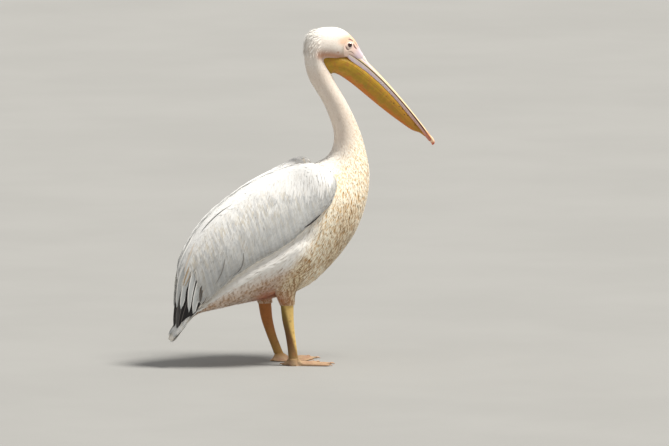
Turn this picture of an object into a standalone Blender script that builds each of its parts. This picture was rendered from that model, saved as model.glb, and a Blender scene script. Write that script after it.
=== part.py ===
"""A great white pelican standing at rest, life size, as a still museum model.

Metres. +X is the way the bird faces, +Y is its left side, +Z is up, and the soles stand on z = 0.
Trunk, neck and head are one long form, parted by thin cuts. The wings, thighs and pouch are shaped
a little too deep and then cut back by what they lie on, so that neighbours meet without overlap.
"""

import math
from typing import NamedTuple

import bmesh
import bpy
from mathutils import Vector

# --- driving sizes -------------------------------------------------------------------------------

CUT = 0.0004  # width of the thin cut between neighbouring parts
LEFT, RIGHT = 1, -1

BILL_GAPE = (0.135, 0.966)  # x and z where the mouth line starts, below the eye
BILL_KNEE = (0.2515, 0.9105)
BILL_TIP = (0.4200, 0.6775)
BILL_BASE = 0.19  # share of the mouth line at which the upper bill leaves the forehead

EYE_CENTRE = (0.1475, 0.0245, 0.9885)
EYE_RADIUS = 0.0088

LEG_SPREAD = 0.070  # sole centre to the bird's middle plane
ANKLE_TOP = 0.022
ANKLE_X = {RIGHT: -0.045, LEFT: -0.053}
LEG_LINE = {  # x and z down the bare shank, from the edge of the thigh feathers to the ankle
    RIGHT: ((-0.0635, 0.190), (-0.0605, 0.142), (-0.0545, 0.100), (-0.0484, 0.056), (-0.0450, ANKLE_TOP)),
    LEFT: ((-0.1010, 0.183), (-0.0940, 0.134), (-0.0800, 0.086), (-0.0645, 0.046), (-0.0545, ANKLE_TOP)),
}
LEG_DEPTH = (0.0205, 0.0180, 0.0152, 0.0145, 0.0150)  # half of it, fore and aft
LEG_WIDTH = (0.0150, 0.0125, 0.0095, 0.0090, 0.0112)  # half of it, side to side

TOE_ANGLES = (-22.0, -1.0, 26.0, 143.0)  # outer, middle, inner and hind toe, from straight ahead
TOE_LENGTHS = (0.112, 0.122, 0.100, 0.036)
TOE_HALF_WIDTH = 0.0065
WEB_THICKNESS = 0.0035
HEEL_RADIUS = 0.015
CLAW_LENGTH = 0.011


class Section(NamedTuple):
    """One slice of a body form: its highest and lowest point (x, z) in the middle plane."""

    top: tuple
    low: tuple
    half_width: float
    belly: float = 0.0  # above 0 the slice is widest below its middle
    corner: float = 1.0  # 1 is an ellipse, less is squarer


# Rump to breast, up the neck, and over the crown to the root of the bill.
BODY = (
    Section((-0.342, 0.222), (-0.312, 0.160), 0.034),
    Section((-0.312, 0.330), (-0.232, 0.176), 0.066, 0.05),
    Section((-0.258, 0.430), (-0.150, 0.190), 0.098, 0.05),
    Section((-0.190, 0.510), (-0.055, 0.212), 0.122, 0.05),
    Section((-0.105, 0.565), (0.028, 0.252), 0.134, 0.03),
    Section((-0.025, 0.598), (0.104, 0.316), 0.136),
    Section((0.038, 0.616), (0.168, 0.396), 0.128),
    Section((0.076, 0.632), (0.206, 0.490), 0.108, 0.05),
    Section((0.096, 0.652), (0.219, 0.580), 0.082, 0.05),
    Section((0.106, 0.680), (0.207, 0.654), 0.058),
    Section((0.105, 0.718), (0.184, 0.722), 0.042),
    Section((0.092, 0.760), (0.158, 0.784), 0.0355),
    Section((0.072, 0.806), (0.134, 0.834), 0.0335),
    Section((0.048, 0.846), (0.113, 0.874), 0.0330),
    Section((0.026, 0.884), (0.095, 0.905), 0.0340),
    Section((0.010, 0.930), (0.078, 0.925), 0.0355),
    Section((0.003, 0.978), (0.068, 0.940), 0.0375),
    Section((0.012, 1.016), (0.078, 0.945), 0.0400),
    Section((0.048, 1.041), (0.092, 0.943), 0.0415, 0.05),
    Section((0.088, 1.0435), (0.106, 0.941), 0.0405, 0.10),
    Section((0.120, 1.040), (0.122, 0.944), 0.0360, 0.10, 0.92),
    Section((0.149, 1.025), (0.141, 0.9475), 0.0305, 0.08, 0.82),
    Section((0.172, 1.001), (0.160, 0.9405), 0.0265, 0.06, 0.75),
    Section((0.1905, 0.965), (0.178, 0.9310), 0.0240, 0.04, 0.72),
)
BODY_CUTS = {"trunk": (0, 9), "neck_lower": (9, 11), "neck_middle": (11, 13), "neck_upper": (13, 15.5),
             "head": (15.5, 23)}

TAIL = (
    Section((-0.3435, 0.219), (-0.3155, 0.163), 0.033),
    Section((-0.368, 0.183), (-0.342, 0.150), 0.043, 0.0, 0.85),
    Section((-0.392, 0.142), (-0.375, 0.124), 0.050, 0.0, 0.80),
    Section((-0.410, 0.115), (-0.401, 0.104), 0.050, 0.0, 0.75),
    Section((-0.420, 0.096), (-0.415, 0.089), 0.042, 0.0, 0.75),
    Section((-0.4245, 0.085), (-0.4225, 0.082), 0.022, 0.0, 0.75),
)

POUCH = (
    Section((0.0700, 0.950), (0.0880, 0.898), 0.0240, -0.15),
    Section((0.0920, 0.950), (0.1000, 0.8950), 0.0265, -0.18),
    Section((0.1180, 0.950), (0.1175, 0.8870), 0.0265, -0.22),
    Section((0.1530, 0.9400), (0.1370, 0.8755), 0.0250, -0.26),
    Section((0.1960, 0.9090), (0.1635, 0.8575), 0.0225, -0.28),
    Section((0.2390, 0.8700), (0.2025, 0.8290), 0.0190, -0.28),
    Section((0.2890, 0.8220), (0.2525, 0.7860), 0.0170, -0.28),
    Section((0.3350, 0.7700), (0.3060, 0.7420), 0.0155, -0.25),
    Section((0.3690, 0.7270), (0.3500, 0.7090), 0.0120, -0.20),
    Section((0.3900, 0.6990), (0.3790, 0.6890), 0.0070, -0.20),
)


class WingSection(NamedTuple):
    """One slice of a folded wing: the edge on the back, the edge on the flank, and what is between."""

    top: tuple
    low: tuple
    bulge: float  # how far the outside stands out from the straight line between the edges
    depth: float  # how far the inside goes the other way, into the flank


# Wrist to wing tip, for the left wing. The two wings meet along the middle of the back.
WING = (
    WingSection((0.066, 0.092, 0.604), (0.080, 0.106, 0.586), 0.012, 0.004),
    WingSection((0.045, 0.088, 0.619), (0.079, 0.126, 0.558), 0.022, 0.015),
    WingSection((0.004, 0.074, 0.6305), (0.056, 0.143, 0.510), 0.030, 0.034),
    WingSection((-0.065, 0.022, 0.6150), (-0.002, 0.148, 0.458), 0.034, 0.053),
    WingSection((-0.190, 0.000, 0.5620), (-0.088, 0.141, 0.386), 0.034, 0.060),
    WingSection((-0.315, 0.000, 0.4680), (-0.220, 0.106, 0.303), 0.030, 0.042),
    WingSection((-0.3880, 0.000, 0.3600), (-0.321, 0.062, 0.210), 0.024, 0.020),
    WingSection((-0.4070, 0.000, 0.2450), (-0.369, 0.036, 0.153), 0.014, 0.008),
    WingSection((-0.4110, 0.000, 0.1450), (-0.396, 0.018, 0.108), 0.008, 0.003),
)

COLOURS = {
    "feathers": ((0.82, 0.79, 0.72), 0.85),
    "wing": ((0.78, 0.78, 0.77), 0.75),
    "bill": ((0.62, 0.52, 0.55), 0.45),
    "nail": ((0.75, 0.25, 0.16), 0.40),
    "pouch": ((0.72, 0.47, 0.08), 0.50),
    "leg": ((0.62, 0.42, 0.16), 0.60),
    "claw": ((0.45, 0.32, 0.22), 0.45),
    "eye": ((0.10, 0.02, 0.015), 0.10),
}


# --- tools ---------------------------------------------------------------------------------------


def clear_scene():
    for thing in list(bpy.data.objects):
        bpy.data.objects.remove(thing)


def material(name):
    """The material of that name, made the first time it is asked for."""
    found = bpy.data.materials.get(name)
    if found:
        return found
    colour, roughness = COLOURS[name]
    made = bpy.data.materials.new(name)
    made.use_nodes = True
    shader = made.node_tree.nodes["Principled BSDF"]
    shader.inputs["Base Color"].default_value = (*colour, 1.0)
    shader.inputs["Roughness"].default_value = roughness
    shader.inputs["Metallic"].default_value = 0.0
    return made


def between(rows, place):
    """A smooth curve through rows of numbers, read at a place counted in rows (Catmull-Rom)."""
    last = len(rows) - 1
    place = min(max(place, 0.0), last)
    first = min(int(place), last - 1)
    t = place - first
    before, here, there, after = (rows[min(max(first + k, 0), last)] for k in (-1, 0, 1, 2))
    weights = (
        -0.5 * t + t * t - 0.5 * t**3,
        1 - 2.5 * t * t + 1.5 * t**3,
        0.5 * t + 2 * t * t - 1.5 * t**3,
        -0.5 * t * t + 0.5 * t**3,
    )
    return [sum(w * row[k] for w, row in zip(weights, (before, here, there, after))) for k in range(len(here))]


def profile(values, share):
    """A smooth curve through evenly spaced values, read at a share of its length."""
    return between([(v,) for v in values], share * (len(values) - 1))[0]


def places(first, last, steps):
    """Row counts from first to last, with so many steps to a row."""
    count = max(1, round((last - first) * steps))
    return [first + (last - first) * i / count for i in range(count + 1)]


def finish(name, mesh, finish_name):
    """A named object from a bmesh, in triangles, so that a copy grown along its normals clears it all over."""
    bmesh.ops.recalc_face_normals(mesh, faces=mesh.faces)
    bmesh.ops.triangulate(mesh, faces=mesh.faces)
    data = bpy.data.meshes.new(name)
    mesh.to_mesh(data)
    mesh.free()
    data.shade_smooth()
    data.set_sharp_from_angle(angle=math.radians(50))
    data.materials.append(material(finish_name))
    made = bpy.data.objects.new(name, data)
    bpy.context.scene.collection.objects.link(made)
    return made


def skin_over(rings):
    """A closed bmesh through rings of points, with a flat face at each end."""
    mesh = bmesh.new()
    loops = [[mesh.verts.new(p) for p in ring] for ring in rings]
    around = len(loops[0])
    for here, there in zip(loops, loops[1:]):
        for k in range(around):
            mesh.faces.new((here[k], here[(k + 1) % around], there[(k + 1) % around], there[k]))
    mesh.faces.new(loops[0])
    mesh.faces.new(reversed(loops[-1]))
    return mesh


def section_ring(section, around):
    """The points round one slice, from its top down the left side and up the right."""
    top, low = Vector((section.top[0], 0, section.top[1])), Vector((section.low[0], 0, section.low[1]))
    centre, half = (top + low) / 2, (top - low) / 2
    ring = []
    for k in range(around):
        turn = 2 * math.pi * k / around
        c = math.copysign(abs(math.cos(turn)) ** section.corner, math.cos(turn))
        s = math.copysign(abs(math.sin(turn)) ** section.corner, math.sin(turn))
        ring.append(centre + half * c + Vector((0, section.half_width * s * (1 - section.belly * c), 0)))
    return ring


def section_at(sections, place):
    rows = [(*s.top, *s.low, s.half_width, s.belly, s.corner) for s in sections]
    v = between(rows, place)
    return Section((v[0], v[1]), (v[2], v[3]), v[4], v[5], v[6])


def shrink_ends(rings, gap):
    """Moves each end ring inwards along the form, so that a cut of this width is left."""
    for end, inner in ((0, 1), (-1, -2)):
        middle = [sum(ring, Vector()) / len(ring) for ring in (rings[end], rings[inner])]
        inwards = (middle[1] - middle[0]).normalized()
        rings[end] = [p + inwards * gap / 2 for p in rings[end]]
    return rings


def form(name, sections, first, last, finish_name, around=24, steps=2):
    """A solid through part of a row of sections."""
    rings = [section_ring(section_at(sections, p), around) for p in places(first, last, steps)]
    return finish(name, skin_over(shrink_ends(rings, CUT)), finish_name)


def tube(name, stations, finish_name, around=18, steps=3, flat_ends=True):
    """A solid along stations of (x, y, z, half length fore and aft, half width)."""
    rings = []
    for p in places(0, len(stations) - 1, steps):
        x, y, z, deep, wide = between(stations, p)
        turns = [2 * math.pi * k / around for k in range(around)]
        rings.append([Vector((x + deep * math.cos(t), y + wide * math.sin(t), z)) for t in turns])
    return finish(name, skin_over(shrink_ends(rings, CUT) if flat_ends else rings), finish_name)


def cut_back(piece, *neighbours):
    """Takes its neighbours, grown by the width of a cut, out of a piece."""
    for neighbour in neighbours:
        cutter = bpy.data.objects.get("cutter_" + neighbour.name)
        if cutter is None:
            data = neighbour.data.copy()
            normals = [v.normal.copy() for v in data.vertices]
            for vertex, normal in zip(data.vertices, normals):
                vertex.co += normal * CUT
            cutter = bpy.data.objects.new("cutter_" + neighbour.name, data)
            bpy.context.scene.collection.objects.link(cutter)
            cutter.hide_render = True
            cutter.display_type = "WIRE"
        modifier = piece.modifiers.new("clear_of_" + neighbour.name, "BOOLEAN")
        modifier.operation = "DIFFERENCE"
        modifier.solver = "EXACT"
        modifier.object = cutter
    return piece


# --- trunk, neck, head, tail ---------------------------------------------------------------------


def body():
    parts = {name: form(name, BODY, first, last, "feathers") for name, (first, last) in BODY_CUTS.items()}
    parts["tail"] = form("tail", TAIL, 0, len(TAIL) - 1, "feathers", around=18)
    return parts


def eyes(head):
    """Balls that sit in sockets of the head, with lids left to the finish."""
    for name, side in (("eye_left", LEFT), ("eye_right", RIGHT)):
        mesh = bmesh.new()
        bmesh.ops.create_uvsphere(mesh, u_segments=12, v_segments=8, radius=EYE_RADIUS)
        x, y, z = EYE_CENTRE
        bmesh.ops.translate(mesh, verts=mesh.verts, vec=(x, side * y, z))
        cut_back(head, finish(name, mesh, "eye"))


# --- bill and pouch ------------------------------------------------------------------------------


def mouth_line(share):
    """A point of the line on which the bill closes, and the direction square to it, upwards."""
    gape, knee, tip = (Vector((x, 0, z)) for x, z in (BILL_GAPE, BILL_KNEE, BILL_TIP))
    point = gape * (1 - share) ** 2 + knee * 2 * share * (1 - share) + tip * share**2
    along = ((knee - gape) * (1 - share) + (tip - knee) * share).normalized()
    return point, Vector((-along.z, 0, along.x))


def bill_sections(first, last, rise, drop, half_widths, belly, corner, count=11):
    """Sections along the mouth line, from so far above it to so far below it."""
    made = []
    for i in range(count):
        share = i / (count - 1)
        point, up = mouth_line(first + (last - first) * share)
        top = point + up * profile(rise, share)
        low = point - up * profile(drop, share)
        made.append(Section((top.x, top.z), (low.x, low.z), profile(half_widths, share), belly, corner))
    return made


def bill(parts):
    gap = CUT / 2
    upper = bill_sections(BILL_BASE, 0.955, (0.0190, 0.0135, 0.0105, 0.0090, 0.0090, 0.0090), (-gap, -gap),
                          (0.0240, 0.0185, 0.0165, 0.0170, 0.0185, 0.0150), 0.30, 0.80)
    lower = bill_sections(0.012, 0.955, (-gap, -gap), (0.0080, 0.0195, 0.0195, 0.0160, 0.0145, 0.0140, 0.0100),
                          (0.0265, 0.0250, 0.0205, 0.0180, 0.0175, 0.0180, 0.0130), 0.0, 0.62)
    nail = bill_sections(0.957, 1.004, (0.0090, 0.0088, 0.0060, -0.0010), (0.0065, 0.0085, 0.0100, 0.0080),
                         (0.0115, 0.0095, 0.0070, 0.0030), 0.10, 0.90, count=6)
    parts["bill_upper"] = form("bill_upper", upper, 0, len(upper) - 1, "bill", around=20, steps=1)
    parts["bill_lower"] = form("bill_lower", lower, 0, len(lower) - 1, "bill", around=16, steps=1)
    parts["bill_nail"] = form("bill_nail", nail, 0, len(nail) - 1, "nail", around=12, steps=1)
    parts["pouch"] = form("pouch", POUCH, 0, len(POUCH) - 1, "pouch", around=16, steps=1.5)
    cut_back(parts["bill_upper"], parts["head"])
    cut_back(parts["bill_lower"], parts["head"])
    cut_back(parts["pouch"], parts["head"], parts["neck_upper"], parts["bill_lower"])


# --- wings ---------------------------------------------------------------------------------------


def wing_ring(here, along, side, around=18):
    """The points round one slice of a folded wing: an outside that bulges and an inside in the flank."""
    top, low = Vector(here.top), Vector(here.low)
    chord = top - low
    out = along.cross(chord).normalized()
    ring = []
    for k in range(around):
        turn = 2 * math.pi * k / around
        share = (1 + math.cos(turn)) / 2  # 0 at the flank edge, 1 on the back
        stand = math.sin(turn) * (here.bulge if turn < math.pi else here.depth)
        point = low + chord * share + out * stand
        ring.append(Vector((point.x, side * max(point.y, CUT / 2), point.z)))
    return ring


def wings(parts):
    rows = [(*w.top, *w.low, w.bulge, w.depth) for w in WING]
    stations = [WingSection(v[0:3], v[3:6], v[6], v[7]) for v in
                (between(rows, p) for p in places(0, len(WING) - 1, 2))]
    middles = [(Vector(w.top) + Vector(w.low)) / 2 for w in stations]
    for name, side in (("wing_left", LEFT), ("wing_right", RIGHT)):
        rings = []
        for k, station in enumerate(stations):
            along = middles[min(k + 1, len(middles) - 1)] - middles[max(k - 1, 0)]
            rings.append(wing_ring(station, along, side))
        wing = finish(name, skin_over(rings), "wing")
        parts[name] = cut_back(wing, parts["trunk"], parts["tail"], parts["neck_lower"])


# --- legs and feet -------------------------------------------------------------------------------


def leg(name, side, parts):
    line = LEG_LINE[side]
    (x, z), spread = line[0], [side * (0.064 + 0.006 * k / 4) for k in range(5)]
    thigh = (
        ((x - 0.005) / 2, side * 0.056, 0.345, 0.056, 0.042),
        (x * 0.9 + 0.012, side * 0.062, 0.285, 0.048, 0.038),
        (x - 0.004, side * 0.065, z + 0.044, 0.0335, 0.0270),
        (x + 0.001, side * 0.064, z, 0.0228, 0.0185),
    )
    shank = [(a, y, b, deep, wide) for (a, b), y, deep, wide in zip(line, spread, LEG_DEPTH, LEG_WIDTH)]
    thigh_piece = tube("thigh_" + name, thigh, "feathers", around=18)
    parts["thigh_" + name] = cut_back(thigh_piece, parts["trunk"])
    parts["shank_" + name] = tube("shank_" + name, shank, "leg", around=14, steps=2)


def web_edge(angle):
    """How far the outline of a foot is from its ankle, at an angle in degrees from straight ahead."""
    outer, hind = TOE_ANGLES[0], TOE_ANGLES[-1]
    for here, there, a, b in zip(TOE_ANGLES, TOE_ANGLES[1:], TOE_LENGTHS, TOE_LENGTHS[1:]):
        if here <= angle <= there:
            share = (angle - here) / (there - here)
            dip = 0.20 if there < hind else 0.34
            flare = math.sin(math.pi * share) ** 0.7
            return (a + (b - a) * share) * (1 - dip * flare)
    off, length = (outer - angle, TOE_LENGTHS[0]) if angle < outer else (angle - hind, TOE_LENGTHS[-1])
    if off < 90:
        return max(min(length, TOE_HALF_WIDTH / max(math.sin(math.radians(off)), 1e-6)), HEEL_RADIUS)
    return HEEL_RADIUS


def foot_height(distance, angle):
    """The top of a foot above the floor: toes stand as ridges out of a thin web."""
    height = WEB_THICKNESS
    for toe, length in zip(TOE_ANGLES, TOE_LENGTHS):
        off = math.radians(angle - toe)
        aside = distance * math.sin(min(abs(off), math.pi / 2))
        ridge = 0.0135 - 0.0065 * min(distance / length, 1.0)
        height = max(height, WEB_THICKNESS + (ridge - WEB_THICKNESS) * math.exp(-((aside / TOE_HALF_WIDTH) ** 2)))
    return height + (ANKLE_TOP - height) * math.exp(-(max(distance - 0.013, 0) / 0.010) ** 2)


def foot(name, side):
    """A webbed foot with a flat sole, as rings that grow from the ankle to the edge of the web."""
    start = TOE_ANGLES[-1] - 360 + 24
    angles = sorted({round(start + 360 * k / 44, 3) for k in range(44)} | set(TOE_ANGLES))
    shares = (0.0, 0.25, 0.5, 0.75, 1.0)
    centre = Vector((ANKLE_X[side], side * LEG_SPREAD, 0))
    mesh = bmesh.new()
    rings = []
    for share in shares:
        ring = []
        for angle in angles:
            distance = 0.013 + (max(web_edge(angle), 0.0145) - 0.013) * share
            height = foot_height(distance, angle) * (0.62 if share == 1.0 else 1.0)
            turn = math.radians(angle)
            aside = Vector((distance * math.cos(turn), -side * distance * math.sin(turn), height))
            ring.append(mesh.verts.new(centre + aside))
        rings.append(ring)
    sole = [mesh.verts.new((v.co.x, v.co.y, 0)) for v in rings[-1]]
    rings.append(sole)
    count = len(angles)
    for here, there in zip(rings, rings[1:]):
        for k in range(count):
            mesh.faces.new((here[k], here[(k + 1) % count], there[(k + 1) % count], there[k]))
    mesh.faces.new(rings[0])
    mesh.faces.new(reversed(sole))
    return finish("foot_" + name, mesh, "leg")


def claws(name, side):
    """A short bent cone at the end of each toe, just clear of the floor."""
    ankle = Vector((ANKLE_X[side], side * LEG_SPREAD, 0))
    for toe, angle, length in zip(("outer", "middle", "inner", "hind"), TOE_ANGLES, TOE_LENGTHS):
        turn = math.radians(angle)
        ahead = Vector((math.cos(turn), -side * math.sin(turn), 0))
        across = Vector((-ahead.y, ahead.x, 0))
        rings = []
        for share in (0.0, 0.4, 0.75, 1.0):
            thick = 0.0030 * (1 - share) ** 0.7 + 0.0005
            middle = ankle + ahead * (length + CUT + CLAW_LENGTH * share)
            middle.z = 0.0042 + 0.0012 * math.sin(math.pi * share) - 0.0022 * share**2
            steps = [2 * math.pi * k / 6 for k in range(6)]
            rings.append([middle + across * thick * 0.8 * math.cos(t) + Vector((0, 0, thick * math.sin(t)))
                          for t in steps])
        finish(f"claw_{toe}_{name}", skin_over(rings), "claw")


def main():
    clear_scene()
    parts = body()
    eyes(parts["head"])
    bill(parts)
    wings(parts)
    for name, side in (("left", LEFT), ("right", RIGHT)):
        leg(name, side, parts)
        foot(name, side)
        claws(name, side)


main()
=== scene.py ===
"""White pelican, standing: the looks of a life-size museum model.

One skin covers the body, wings, legs and feet. On it lies a coat of separate vanes: plush on the
head, velvet on the neck, streaked lancets on the breast, long coverts and quills on the folded
wings. The bill with its pouch, the eyes and the claws are separate pieces. The bird looks along +X.
"""

import math

import bpy
import numpy as np
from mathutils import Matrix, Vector
from mathutils.bvhtree import BVHTree


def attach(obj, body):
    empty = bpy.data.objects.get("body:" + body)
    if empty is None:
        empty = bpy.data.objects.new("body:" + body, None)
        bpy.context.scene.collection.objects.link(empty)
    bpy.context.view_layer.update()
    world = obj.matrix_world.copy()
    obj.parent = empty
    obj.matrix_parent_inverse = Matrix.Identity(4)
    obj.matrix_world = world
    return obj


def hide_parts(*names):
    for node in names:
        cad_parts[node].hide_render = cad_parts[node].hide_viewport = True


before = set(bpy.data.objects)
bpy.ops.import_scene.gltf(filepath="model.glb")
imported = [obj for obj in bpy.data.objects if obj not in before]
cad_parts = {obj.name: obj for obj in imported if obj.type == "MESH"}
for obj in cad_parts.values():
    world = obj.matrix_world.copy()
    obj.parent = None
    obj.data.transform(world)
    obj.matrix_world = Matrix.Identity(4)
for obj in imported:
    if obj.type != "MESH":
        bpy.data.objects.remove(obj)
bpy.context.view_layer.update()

chance = np.random.default_rng(11)


# --- camera ---
# A long lens a little ahead of the bird's right side and slightly above it, so that the far foot,
# the far shoulder and the back show. The whole bird stands left of the middle of the view.

LOOK_FROM = (-15.0, 7.0)  # degrees round the bird and up
VIEW_WIDTH = 2.0739  # metres across the view at the bird
LENS, SENSOR = 1000.0, 36.0
AIM = (0.1023, 0.43214)  # metres to the right of the frame's origin and up, in the view

turn, lift = (math.radians(a) for a in LOOK_FROM)
view_right = Vector((math.cos(turn), math.sin(turn), 0))
view_back = Vector((math.sin(turn) * math.cos(lift), -math.cos(turn) * math.cos(lift), math.sin(lift)))
view_up = view_back.cross(view_right)
aim = view_right * AIM[0] + view_up * AIM[1]
away = VIEW_WIDTH * LENS / SENSOR
bpy.ops.object.camera_add(location=aim + view_back * away,
                          rotation=(-view_back).to_track_quat("-Z", "Y").to_euler())
camera = bpy.context.object
camera.data.lens, camera.data.sensor_width, camera.data.clip_end = LENS, SENSOR, 200.0
bpy.context.scene.camera = camera


# --- floor and light ---
# A plain pale studio floor, matt, with a faint mottle. One broad warm light shines down from high in
# front of the bird, and a pale, even room lights the rest.


class Paint:
    """A socket of a material. Sums on it add Math nodes, and node() adds any other node."""

    def __init__(self, socket):
        self.socket = socket

    def node(self, kind, settings=None, inputs=None, output=0):
        tree = self.socket.id_data
        node = tree.nodes.new(kind)
        for name, value in (settings or {}).items():
            setattr(node, name, value)
        for name, value in (inputs or {}).items():
            if isinstance(value, Paint):
                tree.links.new(value.socket, node.inputs[name])
            else:
                node.inputs[name].default_value = value
        return Paint(node.outputs[output])

    def sum(self, operation, *values):
        return self.node("ShaderNodeMath", {"operation": operation}, dict(enumerate(values)))

    def __add__(self, other):
        return self.sum("ADD", self, other)

    __radd__ = __add__

    def __sub__(self, other):
        return self.sum("SUBTRACT", self, other)

    def __rsub__(self, other):
        return self.sum("SUBTRACT", other, self)

    def __mul__(self, other):
        return self.sum("MULTIPLY", self, other)

    __rmul__ = __mul__

    def __pow__(self, other):
        return self.sum("POWER", self, other)

    def rise(self, low, high):
        """0 where this value is low, 1 where it is high, smooth between."""
        return self.node("ShaderNodeMapRange", {"interpolation_type": "SMOOTHSTEP"},
                         {0: self, 1: low, 2: high})

    def blend(self, here, there, way="MIX"):
        """The colour here where this value is 0, and there where it is 1."""
        here, there = (c if isinstance(c, Paint) else chart(*c) for c in (here, there))
        return self.node("ShaderNodeMix", {"data_type": "RGBA", "blend_type": way},
                         {0: self, 6: here, 7: there}, 2)

    def under(self, *coats):
        """This colour with others laid over it in turn, each a pair of a mask and a colour."""
        colour = self
        for mask, over in coats:
            colour = mask.blend(colour, over)
        return colour

    def stretched(self, scale, turned=(0, 0, 0)):
        return self.node("ShaderNodeMapping", {}, {"Vector": self, "Scale": scale, "Rotation": turned})

    def noise(self, scale, detail=3.0):
        return self.node("ShaderNodeTexNoise", {}, {"Vector": self, "Scale": scale, "Detail": detail,
                                                    "Roughness": 0.55})

    def cells(self, scale, feature="F1"):
        return self.node("ShaderNodeTexVoronoi", {"feature": feature}, {"Vector": self, "Scale": scale},
                         "Distance")

    def split(self, axis):
        return self.node("ShaderNodeSeparateXYZ", {}, {0: self}, axis)


def chart(*values):
    """A colour for a socket from the 0 to 255 values of a paint chart."""
    return tuple(((v / 255 + 0.055) / 1.055) ** 2.4 if v > 10 else v / 255 / 12.92 for v in values) + (1.0,)


class Finish:
    """A material: the shader's fixed values come first, then what varies over the piece."""

    def __init__(self, name, **fixed):
        self.material = bpy.data.materials.new(name)
        self.material.use_nodes = True
        tree = self.material.node_tree
        self.shader = tree.nodes["Principled BSDF"]
        for words, value in fixed.items():
            self.shader.inputs[words.replace("_", " ")].default_value = value
        self.place = Paint(tree.nodes.new("ShaderNodeTexCoord").outputs["Object"])

    def layer(self, name):
        """A value that the piece's mesh carries at every point."""
        return self.place.node("ShaderNodeAttribute", {"attribute_name": name}, {}, "Fac")

    def coat(self, colour, roughness=None, height=None, depth=0.001):
        links = self.material.node_tree.links
        links.new(colour.socket, self.shader.inputs["Base Color"])
        if roughness is not None:
            links.new(roughness.socket, self.shader.inputs["Roughness"])
        if height is not None:
            bump = self.place.node("ShaderNodeBump", {}, {"Height": height, "Distance": depth})
            links.new(bump.socket, self.shader.inputs["Normal"])
        return self.material


bpy.ops.object.select_all(action="DESELECT")
bpy.ops.mesh.primitive_plane_add(size=1.0)
floor = bpy.context.object
floor.name = "floor"
bpy.ops.object.mode_set(mode="EDIT")
bpy.ops.transform.resize(value=(60, 60, 1))
bpy.ops.mesh.subdivide(number_cuts=3)
bpy.ops.object.mode_set(mode="OBJECT")
plain = Finish("studio floor", Roughness=0.85)
mottle = plain.place.noise(1.3, 4)
pale_grey = mottle.rise(0.3, 0.7).blend((152, 152, 150), (156, 156, 154))
floor.data.materials.append(plain.coat(pale_grey, height=plain.place.noise(160), depth=0.0006))

LIGHT_FROM = Vector((0.41, -0.21, 0.89))
bpy.ops.object.light_add(type="SUN", location=LIGHT_FROM * 4,
                         rotation=LIGHT_FROM.to_track_quat("Z", "Y").to_euler())
lamp = bpy.context.object
lamp.name, lamp.data.energy = "key light", 4.7
lamp.data.angle, lamp.data.color = math.radians(16), (1.0, 0.965, 0.9)
room = bpy.data.worlds.new("pale room")
room.use_nodes = True
room.node_tree.nodes["Background"].inputs["Color"].default_value = (1.0, 0.98, 0.96, 1)
room.node_tree.nodes["Background"].inputs["Strength"].default_value = 0.45
bpy.context.scene.world = room
bpy.context.scene.view_settings.view_transform = "Standard"


# --- forms of the body ---
# The bird's flesh and coat as it stands: body, folded wings, thighs and legs, each as rings of
# points. The skin is cut from these forms, and the feathers lie along them.

TENTHS = 1e4  # to a metre: the tables give lengths in tenths of a millimetre
BODY = np.array((  # top x, z, under side x, z, half width, belly, corner; tail tip to the root of the bill
    (-4215, 850, -4205, 830, 180, 0, 0.7), (-4165, 960, -4135, 920, 300, 0, 0.72),
    (-4060, 1150, -4020, 1100, 380, 0, 0.75), (-3885, 1420, -3790, 1320, 400, 0, 0.8),
    (-3660, 1830, -3495, 1620, 380, 0, 0.85), (-3420, 2220, -3165, 1720, 340, 0, 1),
    (-3120, 3300, -2320, 1880, 660, 0.05, 1), (-2580, 4300, -1500, 2010, 980, 0.05, 1),
    (-1900, 5100, -560, 2160, 1220, 0.05, 1), (-1050, 5650, 280, 2520, 1340, 0.03, 1),
    (-250, 5980, 1010, 3180, 1360, 0, 1), (380, 6160, 1625, 3990, 1280, 0, 1),
    (760, 6320, 1995, 4920, 1080, 0.05, 1), (960, 6520, 2130, 5800, 820, 0.05, 1),
    (1060, 6800, 2035, 6540, 580, 0, 1), (1050, 7180, 1840, 7220, 420, 0, 1),
    (920, 7600, 1568, 7835, 355, 0, 1), (720, 8060, 1300, 8325, 335, 0, 1),
    (480, 8460, 1070, 8710, 330, 0, 1), (260, 8840, 915, 9030, 340, 0, 1),
    (125, 9300, 780, 9250, 355, 0, 1), (115, 9780, 700, 9400, 375, 0, 1),
    (195, 10150, 780, 9450, 400, 0, 1), (510, 10390, 920, 9430, 415, 0.05, 1),
    (880, 10435, 1060, 9410, 405, 0.1, 1), (1200, 10400, 1220, 9440, 360, 0.1, 0.92),
    (1480, 10240, 1410, 9475, 305, 0.08, 0.82), (1705, 9995, 1600, 9405, 265, 0.06, 0.75),
    (1885, 9680, 1760, 9320, 240, 0.04, 0.72), (2035, 9475, 1930, 9240, 212, 0, 0.75),
    (2150, 9275, 2080, 9140, 130, 0, 0.8),
)) / (*[TENTHS] * 5, 1, 1)
BODY_ROUND = 156
WING = np.array((  # top x, y, z, low x, y, z, bulge, depth; shoulder to tip
    (660, 920, 6040, 800, 1060, 5860, 120, 40), (450, 880, 6190, 790, 1260, 5580, 220, 150),
    (40, 740, 6305, 560, 1430, 5100, 300, 340), (-630, 220, 6110, -20, 1480, 4580, 340, 530),
    (-1850, 0, 5530, -880, 1410, 3860, 340, 600), (-3070, 0, 4590, -2200, 1060, 3030, 300, 420),
    (-3760, 0, 3560, -3210, 620, 2100, 240, 200), (-3960, 0, 2450, -3690, 360, 1530, 140, 80),
    (-4040, 0, 1450, -3960, 180, 1080, 80, 30),
)) / TENTHS
WING_ROUND, WING_RINGS = 64, 90
SIDES = {"left": 1, "right": -1}
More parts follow.
